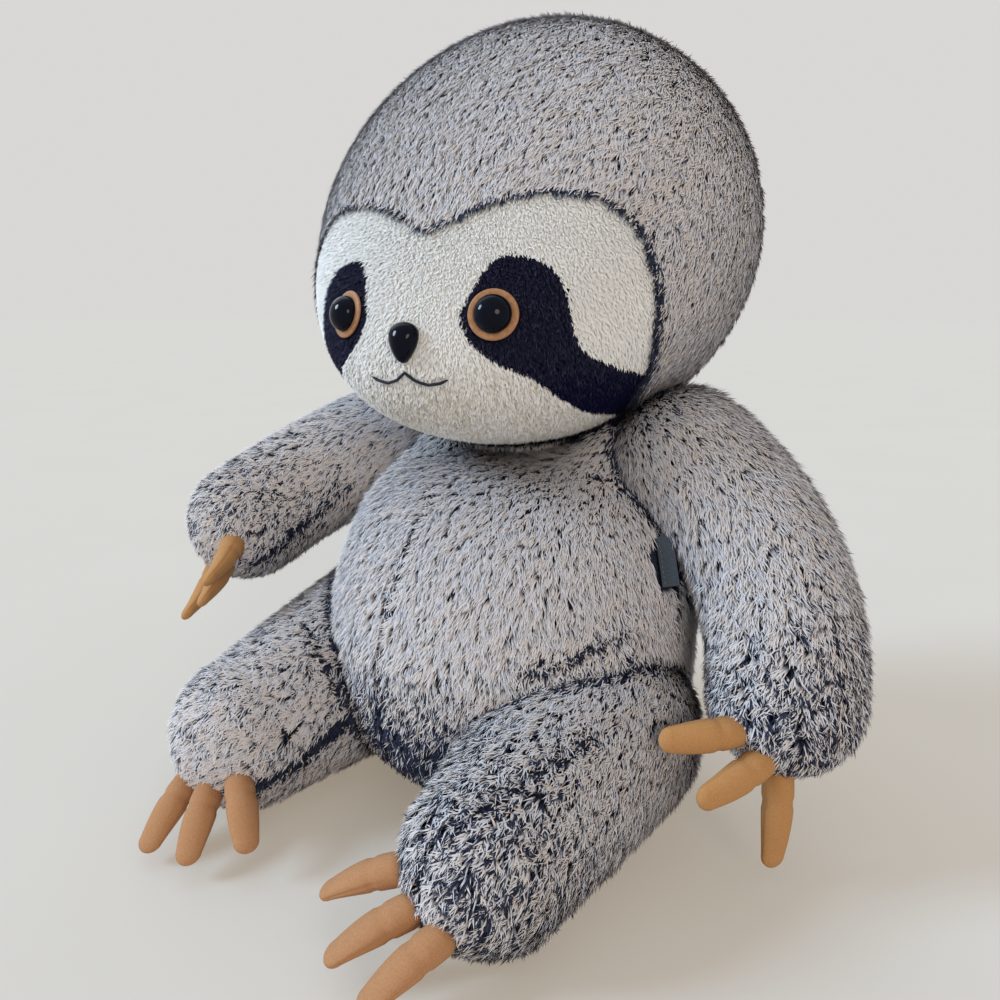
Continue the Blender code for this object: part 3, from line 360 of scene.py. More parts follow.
def leg(side):
    shape = LEG_SHAPES[side]
    root = mirrored(HIP, side) + (0, 0, shape["raise"])
    foot = root + mirrored(shape["foot"], side)
    return limb(root, (root + foot) / 2, foot, shape["radii"], (0, 0, 1))


def limb_frame(form, share):
    first, middle, last = form["axis"]
    share = share[:, None]
    rest = 1 - share
    centre = first * rest * rest + middle * 2 * rest * share + last * share * share
    tangent = unit((middle - first) * rest + (last - middle) * share)
    side = unit(np.cross(form["up"], tangent))
    return centre, tangent, side, np.cross(tangent, side)


def limb_form(form, u):
    root_radius, tip_radius = form["radii"]
    angle = np.arcsin(np.clip(u[:, 2], -1, 1))
    around = unit(u[:, :2])
    quarter = math.pi / 4
    share = np.clip(angle / quarter, 0, 1)
    cap = np.maximum(0, angle - quarter) * 2
    tube = root_radius + (tip_radius - root_radius) * share + form["swell"] * np.sin(math.pi * share)
    radius = np.where(angle <= 0, root_radius * np.cos(angle), tube * np.cos(cap))
    along = np.where(angle <= 0, root_radius * np.sin(angle), tip_radius * np.sin(cap))
    thin = 1 + (form["flat"] - 1) * share
    centre, tangent, side, up = limb_frame(form, share)
    return (centre + tangent * along[:, None] + side * (around[:, :1] * radius[:, None])
            + up * (around[:, 1:] * (radius * thin)[:, None]))


def limb_gap(points, form):
    """How far the points lie outside a limb, and the share of its length they are nearest to."""
    shares = np.linspace(0, 1, 25)
    centres = limb_frame(form, shares)[0]
    away = np.linalg.norm(points[:, None] - centres[None], axis=2)
    nearest = away.argmin(1)
    radius = form["radii"][0] + (form["radii"][1] - form["radii"][0]) * shares[nearest]
    return away[np.arange(len(points)), nearest] - radius, shares[nearest]


def neck_distance(points):
    return np.linalg.norm(points - NECK_CENTRE, axis=1)


def head_gap(points):
    """How far the points lie outside the head, about."""
    u = (about_neck(points, -HEAD_TURN) - HEAD_CENTRE) / HEAD_RADII
    front = u[:, 1] < 0
    u[:, 1] = np.where(front, u[:, 1] * HEAD_RADII[1] / face_depth(np.clip(u[:, 2], -1, 1)), u[:, 1])
    return (np.linalg.norm(u, axis=1) - 1) * HEAD_RADII[2]


def claw_form(form, u):
    """A stuffed finger, drawn in by a fold at its root and a seam along each side."""
    points = limb_form(form, u)
    share = np.arcsin(np.clip(u[:, 2], -1, 1)) / (math.pi / 4)
    depth, place, width = CLAW_FOLD
    fold = depth * bell(share - place, width)
    depth, width = CLAW_SEAM
    seam = depth * bell(unit(u[:, :2])[:, 1], width)
    for ends in CLAW_SEAM_ENDS:
        seam *= smooth_step(*ends, share)
    middle = limb_frame(form, np.clip(share, 0, 1))[0]
    return points - (points - middle) * (fold + seam)[:, None]


def leg_form(side):
    """The leg as it lies against the torso: what would be inside is laid on the torso's side."""
    form = leg(side)

    def place(u):
        points = limb_form(form, u)
        level = torso_level(points, -PRESS_INSET)
        beyond = np.linalg.norm(points - form["axis"][0], axis=1) > LEG_ROOT - SKIN_INSET
        pressed = (level < 1) & beyond
        share = np.maximum(0, (points[:, 2] - TORSO_WIDEST) / (TORSO_HEIGHT - TORSO_WIDEST))
        middle = np.stack((np.zeros(len(points)), TORSO_LEAN * share, points[:, 2]), 1)
        moved = middle + (points - middle) / np.maximum(level, 0.3)[:, None]
        points = np.where(pressed[:, None], moved, points)
        points[:, 2] = np.maximum(points[:, 2], 0)
        return points

    return place


def normals(place, u):
    """Outward normals of a form, from small steps on the unit sphere."""
    step = 2e-3
    side = unit(np.cross((0, 0, 1), u) + np.array((1e-9, 0, 0)))
    up = np.cross(u, side)
    across = place(unit(u + side * step)) - place(unit(u - side * step))
    rise = place(unit(u + up * step)) - place(unit(u - up * step))
    return unit(np.cross(across, rise))


# Outlines on the face
def smooth_outline(points, steps=6):
    """A closed Catmull-Rom curve through the points."""
    knots = np.array(points)
    shares = np.arange(steps)[:, None, None] / steps
    before, here, after, beyond = (np.roll(knots, n, 0)[None] for n in (1, 0, -1, -2))
    square, cube = shares ** 2, shares ** 3
    curve = (here * (2 * cube - 3 * square + 1) + (after - before) / 2 * (cube - 2 * square + shares)
             + after * (3 * square - 2 * cube) + (beyond - here) / 2 * (cube - square))
    return curve.transpose(1, 0, 2).reshape(-1, 2)


def inside(outline, points):
    """Which (across, height) points the closed outline holds."""
    start, end = outline[None], np.roll(outline, -1, 0)[None]
    x, z = points[:, None, 0], points[:, None, 1]
    spans = (start[..., 1] > z) != (end[..., 1] > z)
    rise = np.where(end[..., 1] == start[..., 1], 1e-12, end[..., 1] - start[..., 1])
    crossing = start[..., 0] + (z - start[..., 1]) * (end[..., 0] - start[..., 0]) / rise
    return (spans & (x < crossing)).sum(1) % 2 == 1


def edge_gap(outline, points):
    """Distance from the points to the outline."""
    start, along = outline[None], np.roll(outline, -1, 0)[None] - outline[None]
    offset = points[:, None] - start
    share = np.clip((offset * along).sum(2) / np.maximum((along ** 2).sum(2), 1e-12), 0, 1)
    return np.linalg.norm(offset - along * share[..., None], axis=2).min(1)


FACE_OUTLINE = smooth_outline(FACE_HALF + tuple((-x, z) for x, z in reversed(FACE_HALF[1:-1])))
PATCH_OUTLINES = {side: smooth_outline([(side * x, z) for x, z in PATCH]) for side in (1, -1)}


def front_places(points):
    """(across, height) of head points seen from its own front, and which lie on its front."""
    own = about_neck(points, -HEAD_TURN) - HEAD_CENTRE * (1, 1, 0)
    return own[:, (0, 2)], own[:, 1] < -FACE_BACK


def in_face(points):
    places, front = front_places(points)
    return inside(FACE_OUTLINE, places) & front


def in_patch(points, side):
    return inside(PATCH_OUTLINES[side], front_places(points)[0]) & in_face(points)


def crease_gap(points, out, lines):
    """Half widths from the nearest crease along the surface, the way from it, its depth and its share of dark
    tufts, which is painted shade.
    """
    best = np.full(len(points), 9.0)
    away = np.zeros((len(points), 3))
    depth, dark = np.zeros(len(points)), np.zeros(len(points))
    for line, width, deep, shade_share in lines:
        line = np.array(line)
        for start, end in zip(line[:-1], line[1:]):
            along = end - start
            share = np.clip(((points - start) @ along) / (along @ along), 0, 1)
            offset = points - start - share[:, None] * along
            rise = dot(offset, out)
            offset = offset - out * np.clip(rise, -CREASE_REACH, CREASE_REACH)
            gap = np.linalg.norm(offset, axis=1) / width
            closer = gap < best
            best[closer], away[closer] = gap[closer], unit(offset)[closer]
            depth[closer], dark[closer] = deep, shade_share
    return best, away, depth, dark


# Meshes
def linked(name, data):
    obj = bpy.data.objects.new(name, data)
    bpy.context.scene.collection.objects.link(obj)
    return obj


def new_object(name, vertices, faces, material, smooth=True):
    mesh = bpy.data.meshes.new(name)
    mesh.from_pydata([tuple(v) for v in vertices], [], faces)
    mesh.update()
    if smooth:
        mesh.shade_smooth()
    mesh.materials.append(material)
    return linked(name, mesh)


def on_sphere(ring, turn):
    """Unit points at an angle above the middle and a turn about Z."""
    return np.stack((np.cos(ring) * np.cos(turn), np.cos(ring) * np.sin(turn), np.sin(ring)), -1)


def sphere_units(columns, rows):
    """Unit points of a grid with two poles, and its faces, all turned outward."""
    rings = np.linspace(-math.pi / 2, math.pi / 2, rows + 1)[1:-1]
    turns = np.arange(columns) * 2 * math.pi / columns
    ring, turn = np.meshgrid(rings, turns, indexing="ij")
    units = np.vstack((on_sphere(ring, turn).reshape(-1, 3), (0, 0, -1), (0, 0, 1)))
    low, high = len(units) - 2, len(units) - 1
    here = np.arange(low).reshape(-1, columns)
    faces = walls(here)
    for c in range(columns):
        n = (c + 1) % columns
        faces += [(low, n, c), (high, here[-1, c], here[-1, n])]
    return units, faces


def walls(here):
    """Quads between rows of point numbers that run round and upward."""
    beside = np.roll(here, -1, 1)
    return np.stack((here[:-1], beside[:-1], beside[1:], here[1:]), 2).reshape(-1, 4).tolist()


def skin(name, place, columns, rows, material, keep=None, inset=SKIN_INSET):
    """The cloth under the pile, a little inside the form; keep() says from their middles which faces stay."""
    units, faces = sphere_units(columns, rows)
    points = place(units) - normals(place, units) * inset
    if keep is not None:
        middles = np.array([points[list(face)].mean(0) for face in faces])
        stays = keep(middles)
        faces = [face for face, stay in zip(faces, stays) if stay]
        used = sorted({corner for face in faces for corner in face})
        number = {old: new for new, old in enumerate(used)}
        points = points[used]
        faces = [tuple(number[corner] for corner in face) for face in faces]
    return new_object(name, points, faces, material)


def scatter(place, kind, rng, cells=CELLS):
    """Tuft roots so spread that each has the same small patch of the form to itself, and their outward ways."""
    columns, rows = cells
    rings = np.linspace(-math.pi / 2, math.pi / 2, rows + 1)
    turns = np.linspace(0, 2 * math.pi, columns + 1)
    ring, turn = np.meshgrid(rings, turns, indexing="ij")
    grid = on_sphere(ring, turn)
    points = place(grid.reshape(-1, 3)).reshape(grid.shape)
    across = points[1:, 1:] - points[:-1, :-1]
    other = points[1:, :-1] - points[:-1, 1:]
    area = np.linalg.norm(np.cross(across, other), axis=2) / 2
    area[1::2] = area[1::2, ::-1]
    total = np.cumsum(area.ravel()) / kind["spacing"] ** 2
    count = int(total[-1])
    cell = np.searchsorted(total, np.arange(count) + rng.uniform(0, 1, count))
    cell = np.minimum(cell, area.size - 1)
    row, column = np.divmod(cell, columns)
    column = np.where(row % 2 == 1, columns - 1 - column, column)
    ring = rings[row] + rng.uniform(0, 1, count) * (rings[1] - rings[0])
    turn = turns[column] + rng.uniform(0, 1, count) * (turns[1] - turns[0])
    u = on_sphere(ring, turn)
    return place(u), normals(place, u)


def clumps(roots, spacing, rng):
    """For each root, the place that its tuft leans to, and a number that its clump shares."""
    count = max(1, int(len(roots) * (spacing[0] / spacing[1]) ** 2))
    middles = roots[rng.choice(len(roots), count, replace=False)]
    tree = KDTree(len(middles))
    for index, middle in enumerate(middles):
        tree.insert(middle, index)
    tree.balance()
    found = np.array([tree.find(root)[1] for root in roots])
    return middles[found], rng.uniform(0, 1, len(middles))[found]


def leaning(flow, out, angle):
    return flow * np.cos(angle)[:, None] + out * np.sin(angle)[:, None]


def pile(name, body, roots, out, flow, kind, look, rng, length=1.0, lift=0.0, dark=0.0, mess=0.0, painted_light=0.0):
    """Tufts from a wide dark root to a light tip; dark is the share of dark ones, mess how much they clump and
    stray, and the last argument how much lighter their roots are drawn, which is painted light."""
    material, slot = look
    count = len(roots)
    dark, mess, painted_light = (np.broadcast_to(np.asarray(a, float), count) for a in (dark, mess, painted_light))
    length = kind["length"] * length * rng.uniform(*LENGTH_SHARES, count) * (1 - MESS_SHORTER * mess)
    middle, shared = clumps(roots, (kind["spacing"], kind["clump"]), rng)
    turn = rng.normal(0, TURN_SPREAD, count) * (1 + mess) + (shared - 0.5) * (CLUMP_TURN + mess)
    turn = turn[:, None]
    flow = unit(flow - out * dot(flow, out))
    side = np.cross(flow, out)
    flow = unit(flow * np.cos(turn) + side * np.sin(turn))
    side = np.cross(flow, out)
    wobble = rng.normal(0, LEAN_SPREAD, count) + lift + (shared - 0.5) * CLUMP_LEAN
    first, last = (np.radians(a) + wobble for a in kind["lean"])
    low = leaning(flow, out, first) * (length * BEND_SHARE)[:, None]
    high = leaning(flow, out, last) * (length * (1 - BEND_SHARE))[:, None]
    pull = (middle - roots) * (kind["pull"] * (CLUMP_PULL + MESS_PULL * mess))[:, None]
    pull = pull - out * dot(pull, out)
    bend = roots + low + pull * BEND_SHARE
    tip = roots + low + high + pull
    width = kind["width"] / 2 * rng.uniform(*WIDTH_SHARES, count) * (1 + MESS_WIDER * mess)
    half = side * width[:, None]
    near, far = bend - half * BEND_WIDTH, bend + half * BEND_WIDTH
    corners = np.stack((roots - half, roots + half, far, near, tip), 1)
    corners[..., 2] = np.maximum(corners[..., 2], FLOOR_CLEAR)
    mixed = rng.uniform(0, 1, count) * TONE_MIX[0] + shared * TONE_MIX[1]
    tone = np.clip(PALE_TONE + (1 - PALE_TONE) * mixed, *TONE_LIMITS)
    deep = rng.uniform(0, DARK_MIX[0], count) + DARK_MIX[1] * shared < dark
    tone = np.where(deep, rng.uniform(*DARK_TONES, count), tone)
    pieces = max(1, math.ceil(count / PIECE_TUFTS))
    for number, part in enumerate(np.array_split(np.argsort(roots[:, 0]), pieces)):
        tufts = corners[part], out[part], tone[part], painted_light[part]
        piece = tuft_object(f"{name}_{number + 1}", body, *tufts, material)


def tuft_object(name, body, corners, out, tone, painted_light, material):
    """One mesh of tufts; its UV map holds each tuft's tone across and its run from root to tip upward."""
    count = len(corners)
    order = np.array((0, 1, 2, 3, 3, 2, 4))
    mesh = bpy.data.meshes.new(name)
    mesh.vertices.add(count * TUFT_CORNERS)
    mesh.vertices.foreach_set("co", corners.reshape(-1).astype(np.float32))
    loops = np.arange(count)[:, None] * TUFT_CORNERS + order
    mesh.loops.add(count * TUFT_LOOPS)
    mesh.loops.foreach_set("vertex_index", loops.reshape(-1).astype(np.int32))
    mesh.polygons.add(count * 2)
    begins = (np.arange(count)[:, None] * TUFT_LOOPS + (0, 4)).reshape(-1)
    mesh.polygons.foreach_set("loop_start", begins.astype(np.int32))
    mesh.update(calc_edges=True)
    mesh.shade_smooth()
    layer = mesh.uv_layers.new(name=UV_NAME)
    u = tone[:, None] + TONE_HALF * np.array((-1, 1, 1, -1, 0))
    v = np.tile(TUFT_RUN, (count, 1))
    # Painted light: roots moved up the colour run, so they are drawn lighter
    v[:, :2] += PAINTED_LIGHT_RUN * painted_light[:, None]
    uv = np.stack((u[:, order], v[:, order]), 2)
    layer.data.foreach_set("uv", uv.reshape(-1).astype(np.float32))
    blade = unit(np.cross(corners[:, 1] - corners[:, 0], corners[:, 4] - corners[:, 0]))
    shading = unit(out * OUT_SHADE + blade * (1 - OUT_SHADE))
    mesh.normals_split_custom_set_from_vertices(np.repeat(shading, TUFT_CORNERS, 0).tolist())
    mesh.materials.append(material)
    obj = linked(name, mesh)
    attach(obj, body)
    return obj


# Materials
def new_material(name, roughness, specular):
    material = bpy.data.materials.new(name)
    material.use_nodes = True
    tree = material.node_tree
    shader = tree.nodes["Principled BSDF"]
    shader.inputs["Roughness"].default_value = roughness
    shader.inputs["Specular IOR Level"].default_value = specular
    return material, tree, shader


def node(tree, kind, inputs=(), **settings):
    """A shader node with its settings, and its inputs as values or links."""
    made = tree.nodes.new(kind)
    for key, value in settings.items():
        setattr(made, key, value)
    for key, value in dict(inputs).items():
        if isinstance(value, bpy.types.NodeSocket):
            tree.links.new(value, made.inputs[key])
        else:
            made.inputs[key].default_value = value
    return made


def ramp(tree, value, stops):
    made = node(tree, "ShaderNodeValToRGB", {"Fac": value})
    elements = made.color_ramp.elements
    while len(elements) < len(stops):
        elements.new(0.5)
    for element, (place, colour) in zip(elements, stops):
        element.position = place
        element.color = (*colour, 1)
    return made.outputs["Color"]


def pile_material(name, along, tints, specular=0.15):
    """Colour runs from root to tip, and each tuft's own tone tints it."""
    material, tree, shader = new_material(name, 0.85, specular)
    uv = node(tree, "ShaderNodeUVMap", uv_map=UV_NAME)
    split = node(tree, "ShaderNodeSeparateXYZ", {"Vector": uv.outputs["UV"]})
    colour = ramp(tree, split.outputs["Y"], along)
    tint = ramp(tree, split.outputs["X"], tints)
    mixed = node(tree, "ShaderNodeMix", {0: 1.0, 6: colour, 7: tint}, data_type="RGBA", blend_type="MULTIPLY")
    tree.links.new(mixed.outputs[2], shader.inputs["Base Color"])
    return material


def uneven_tone(tree, shader, dark, light, scale, detail):
    """Noise between two colours as the base colour; gives the noise."""
    place = node(tree, "ShaderNodeTexCoord").outputs["Object"]
    noise = node(tree, "ShaderNodeTexNoise", {"Vector": place, "Scale": scale, "Detail": detail})
    colour = ramp(tree, noise.outputs["Fac"], ((0.3, dark), (0.7, light)))
    tree.links.new(colour, shader.inputs["Base Color"])
    return noise.outputs["Fac"]


def cloth_material(name, dark, light, scale, roughness=0.95, bump=0.0):
    """Plain cloth with a fine uneven tone."""
    material, tree, shader = new_material(name, roughness, 0.2)
    noise = uneven_tone(tree, shader, dark, light, scale, 4.0)
    if bump:
        bumped = node(tree, "ShaderNodeBump", {"Height": noise, "Strength": bump, "Distance": 0.001})
        tree.links.new(bumped.outputs["Normal"], shader.inputs["Normal"])
    return material


def gloss_material(name, colour, roughness):
    material, tree, shader = new_material(name, roughness, 0.11)
    uneven_tone(tree, shader, tuple(c * 0.6 for c in colour), colour, 90.0, 2.0)
    return material


GREY_PILE = pile_material("grey_pile", (
    (0.0, (0.007, 0.010, 0.026)), (0.14, (0.020, 0.026, 0.052)), (0.34, (0.25, 0.245, 0.265)),
    (0.55, (0.50, 0.50, 0.53)), (1.0, (0.70, 0.705, 0.745)),
), ((0.0, (0.014, 0.020, 0.048)), (0.10, (0.060, 0.074, 0.125)), (0.14, (0.76, 0.79, 0.87)),
    (0.45, (0.98, 0.98, 1.0)), (0.72, (1.0, 0.93, 0.87)), (1.0, (1.0, 0.85, 0.73))))
CREAM_PILE = pile_material("cream_pile", (
    (0.0, (0.70, 0.69, 0.67)), (0.5, (0.77, 0.765, 0.76)), (1.0, (0.81, 0.81, 0.81)),
), ((0.0, (0.70, 0.64, 0.56)), (0.09, (0.80, 0.74, 0.66)), (0.14, (0.94, 0.93, 0.91)),
    (1.0, (1.0, 1.0, 1.0))))
PATCH_PILE = pile_material("patch_pile", (
    (0.0, (0.003, 0.004, 0.012)), (0.5, (0.007, 0.008, 0.022)), (1.0, (0.017, 0.018, 0.042)),
), ((0.0, (0.3, 0.3, 0.8)), (0.09, (0.4, 0.4, 0.8)), (0.14, (0.9, 0.9, 0.9)), (0.70, (1.4, 1.3, 1.1)),
    (1.0, (4.2, 3.7, 2.6))), specular=0.04)
DARK_CLOTH = cloth_material("dark_cloth", (0.007, 0.010, 0.024), (0.018, 0.023, 0.044), 400.0)
CREAM_CLOTH = cloth_material("cream_cloth", (0.66, 0.65, 0.63), (0.72, 0.715, 0.70), 500.0)
PATCH_CLOTH = cloth_material("patch_cloth", (0.003, 0.004, 0.016), (0.006, 0.008, 0.030), 500.0)
SUEDES = {
    "hand": cloth_material("hand_suede", (0.35, 0.175, 0.066), (0.42, 0.220, 0.088), 900.0, 0.85, 0.12),
    "foot": cloth_material("foot_suede", (0.32, 0.155, 0.072), (0.39, 0.200, 0.098), 900.0, 0.85, 0.12),
}
LEATHER = cloth_material("ring_leather", (0.25, 0.120, 0.056), (0.36, 0.185, 0.090), 420.0, 0.5, 0.4)
BLACK_GLOSS = gloss_material("black_gloss", (0.002, 0.003, 0.009), 0.03)
THREAD_BLACK = cloth_material("thread_black", (0.005, 0.005, 0.010), (0.02, 0.02, 0.03), 900.0, 0.6, 0.5)
GREY_LOOK = GREY_PILE, "fur_grey"
CREAM_LOOK = CREAM_PILE, "face_cream"
PATCH_LOOK = PATCH_PILE, "patch_dark"
LABEL_CLOTH = cloth_material("label_cloth", (0.030, 0.040, 0.055), (0.055, 0.070, 0.090), 1200.0, 0.8, 0.3)
LABEL_THREAD = cloth_material("label_thread", (0.11, 0.14, 0.17), (0.16, 0.20, 0.24), 900.0, 0.7)
WASHER_PLASTIC = cloth_material("washer_plastic", (0.66, 0.66, 0.63), (0.76, 0.76, 0.73), 60.0, 0.4)
LINEN = cloth_material("linen", (0.52, 0.48, 0.40), (0.66, 0.62, 0.54), 700.0, 0.9, 0.3)


# Camera, floor and light
def stage():
    camera = linked("camera", bpy.data.cameras.new("camera"))
    camera.location = CAMERA_PLACE
    camera.rotation_euler = [math.radians(a) for a in CAMERA_TURN]
    camera.data.lens = CAMERA_LENS
    camera.data.sensor_width = CAMERA_SENSOR
    bpy.context.scene.camera = camera
    bpy.context.scene.view_settings.view_transform = "Standard"
    paint = cloth_material("floor_paint", FLOOR_SHADES[0], FLOOR_SHADES[1], 3.0)
    shader = paint.node_tree.nodes["Principled BSDF"]
    shader.inputs["Specular IOR Level"].default_value = 0.0
    shader.inputs["Emission Color"].default_value = (*FLOOR_GLOW, 1)
    shader.inputs["Emission Strength"].default_value = 1.0
    corners = [(x * FLOOR_HALF, y * FLOOR_HALF, 0) for x, y in ((-1, -1), (1, -1), (1, 1), (-1, 1))]
    floor = new_object("floor", corners, [(0, 1, 2, 3)], paint, smooth=False)
    world = bpy.data.worlds.new("studio")
    world.use_nodes = True
    background = world.node_tree.nodes["Background"]
    background.inputs["Color"].default_value = (*STUDIO_SHADE, 1)
    background.inputs["Strength"].default_value = 1.0
    bpy.context.scene.world = world
    for settings in SUNS:
        sun(*settings)


def sun(name, place, strength, spread, colour):
    lamp = bpy.data.lights.new(name, "SUN")
    lamp.energy = strength
    lamp.angle = math.radians(spread)
    lamp.color = colour
    obj = linked(name, lamp)
    obj.location = place
    obj.rotation_euler = (Vector(SUN_AIM) - Vector(place)).to_track_quat("-Z", "Y").to_euler()


def node_points(name):
    return np.array([v.co for v in frame["nodes"][name].data.vertices])


# Furry pieces
def torso():
    def keep(middles):
        free = neck_distance(middles) > NECK_RADIUS + SKIN_ROOM
        for side in (1, -1):
            free &= np.linalg.norm(middles - mirrored(SHOULDER, side), axis=1) > ARM_ROOT - SKIN_ROOM
        return free

    cloth = skin("torso_cloth", torso_form, *GRIDS["torso"], DARK_CLOTH, keep)
    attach(cloth, "torso")
    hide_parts("torso_cover", "torso_stuffing")
    rng = np.random.default_rng(SEED)
    roots, out = scatter(torso_form, LONG_PILE, rng)
    stay = (roots[:, 2] > TORSO_FLOOR_ROOM) & (head_gap(roots) > SKIN_ROOM)
    # Painted shade where the torso's pile meets the arms, legs and head
    join_shade = np.zeros(len(roots))
    for side in (1, -1):
        for form, deep in ((arm(side), UNDER_ARM), (leg(side), UNDER_LEG)):
            gap = limb_gap(roots, form)[0]
            stay &= gap > -deep
            join_shade = np.maximum(join_shade, bell(gap, JOIN_SHADE_REACH))
    join_shade = np.maximum(join_shade, bell(np.maximum(0, head_gap(roots)), JOIN_SHADE_REACH))
    corners = node_points("side_label")
    beyond = np.maximum(corners.min(0) - roots, roots - corners.max(0))
    stay &= np.linalg.norm(np.maximum(0, beyond), axis=1) > LABEL_ROOM
    roots, out, join_shade = roots[stay], out[stay], join_shade[stay]
    flow = np.stack((-roots[:, 0] * 1.2, np.zeros(len(roots)), -np.ones(len(roots))), 1)
    # Painted shade: more dark tufts low on the torso and most on its front; the even share is the pile's own
    # dark tufts
    low = smooth_step(*TORSO_LOW, roots[:, 2])
    front = smooth_step(*TORSO_SHADE_FACING, roots[:, 1])
    even, lower, front_low_shade = TORSO_DARK_AND_SHADE
    dark, mess = even + low * (lower + front_low_shade * front), TORSO_MESS[0] + TORSO_MESS[1] * low
    furred("torso_pile", "torso", roots, out, flow, join_shade, rng, dark, mess)


def furred(name, body, roots, out, flow, join_shade, rng, dark, mess):
    """Long pile on a body: sunk, parted, untidy and darker with painted shade along its seams and folds, and
    darker with painted shade where it joins a neighbour."""
    # Painted shade: more dark tufts along the seams and folds and around them; the pile also sinks and parts
    # there
    gap, away, depth, crease_shade = crease_gap(roots, out, CREASES.get(body, ()))
    near, around = bell(gap, 1), bell(gap, CREASE_AROUND)
    roots = roots - out * (ROOT_INSET + CREASE_SINK * depth * near)[:, None]
    flow = unit(unit(flow) * (1 - CREASE_STRAIGHT * near)[:, None] + away * (CREASE_PART * near)[:, None])
    # Painted shade: more dark tufts where the pile joins a neighbour, fewer at the back
    shade_at_joins = join_shade * np.where(roots[:, 1] > BACK_START, BACK_JOIN_SHADE, JOIN_SHADE)
    dark = np.maximum(np.maximum(dark + CREASE_SHADE * around, crease_shade * near), shade_at_joins)
    pile(name, body, roots, out, flow, LONG_PILE, GREY_LOOK, rng, 1 - CREASE_SHORTER * near,
         CREASE_LIFT * near, dark, np.maximum(mess, around))


def head():
    def keep(middles):
        return ~in_face(middles) & (neck_distance(middles) > NECK_RADIUS + SKIN_ROOM)

    cloth = skin("head_cloth", head_form, *GRIDS["head"], DARK_CLOTH, keep)
    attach(cloth, "head")
    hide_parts("head_cover", "head_stuffing")
    rng = np.random.default_rng(SEED + 1)
    roots, out = scatter(head_form, HEAD_PILE, rng)
    stay = ~in_face(roots) & (torso_level(roots, HEAD_ROOM) > 1)
    stay &= neck_distance(roots) > NECK_RADIUS + HEAD_ROOM
    roots, out = roots[stay], out[stay]
    flow = about_neck(CHIN_AIM, HEAD_TURN) - roots
    places, front = front_places(roots)
    fringe = bell(edge_gap(FACE_OUTLINE, places), FRINGE_REACH) * front
    side = smooth_step(*HEAD_FAR, roots[:, 0])
    # Painted light: roots lighter on the head's back, on its side toward the window light and on top
    rim = np.maximum(smooth_step(*RIM_LIGHT_BACK, out[:, 1]), smooth_step(*RIM_LIGHT_SIDE, -out[:, 0]))
    rim = np.maximum(rim, smooth_step(*RIM_LIGHT_TOP, out[:, 2]))
    dark = HEAD_DARK[0] + HEAD_DARK[1] * side + HEAD_DARK[2] * fringe
    mess = np.maximum(HEAD_MESS[0] * side, HEAD_MESS[1] * fringe)
    pile("head_pile", "head", roots - out * ROOT_INSET, out, flow, HEAD_PILE, GREY_LOOK, rng,
         1 + FRINGE_LONGER * fringe, FRINGE_LIFT * fringe, dark, mess, rim)


def face():
    def keep(middles):
        return in_face(middles) & ~in_patch(middles, 1) & ~in_patch(middles, -1)

    cloth = skin("face_cloth", head_form, *GRIDS["face"], CREAM_CLOTH, keep)
    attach(cloth, "head")
    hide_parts("face_panel")
    rng = np.random.default_rng(SEED + 2)
    roots, out = scatter(head_form, SHORT_PILE, rng, FACE_CELLS)
    places = front_places(roots)[0]
    for side, word in SIDES:
        node_name = f"eye_patch_{word}"
        patch = skin(f"eye_patch_cloth_{word}", head_form, *GRIDS["face"], PATCH_CLOTH,
                     lambda middles: in_patch(middles, side))
        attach(patch, "head")
        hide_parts(node_name)
        eye = np.hypot(places[:, 0] - side * EYE[0], places[:, 1] - EYE[1])
        stay = in_patch(roots, side) & (eye > EYE_RING_RADIUS - UNDER_RING)
        tail = smooth_step(*PATCH_TAIL, places[stay, 1])
        face_pile(f"eye_patch_pile_{word}", roots[stay], out[stay], PATCH_LOOK, rng,
                  PATCH_DARK * tail, PATCH_MESS)
    nose_gap = np.hypot(places[:, 0], places[:, 1] - NOSE_HEIGHT)
    stay = keep(roots) & (nose_gap > NOSE_HALF * UNDER_NOSE)
    chin = smooth_step(*CHIN, places[stay, 1])
    face_pile("face_pile", roots[stay], out[stay], CREAM_LOOK, rng, CHIN_DARK * chin, CHIN_MESS * chin)


def face_pile(name, roots, out, look, rng, dark, mess):
    flow = np.stack((roots[:, 0] * 2, np.zeros(len(roots)), -np.ones(len(roots)) * 0.5), 1)
    pile(name, "head", roots - out * SKIN_INSET, out, flow, SHORT_PILE, look, rng,
         1 + FACE_LONGER * mess, FACE_LIFT * mess, dark, mess)


def arms():
    for side, word in SIDES:
        form = arm(side)
        limb_pieces(word, "arm", side, form, lambda u: limb_form(form, u))


def legs():
    for side, word in SIDES:
        limb_pieces(word, "leg", side, leg(side), leg_form(side))


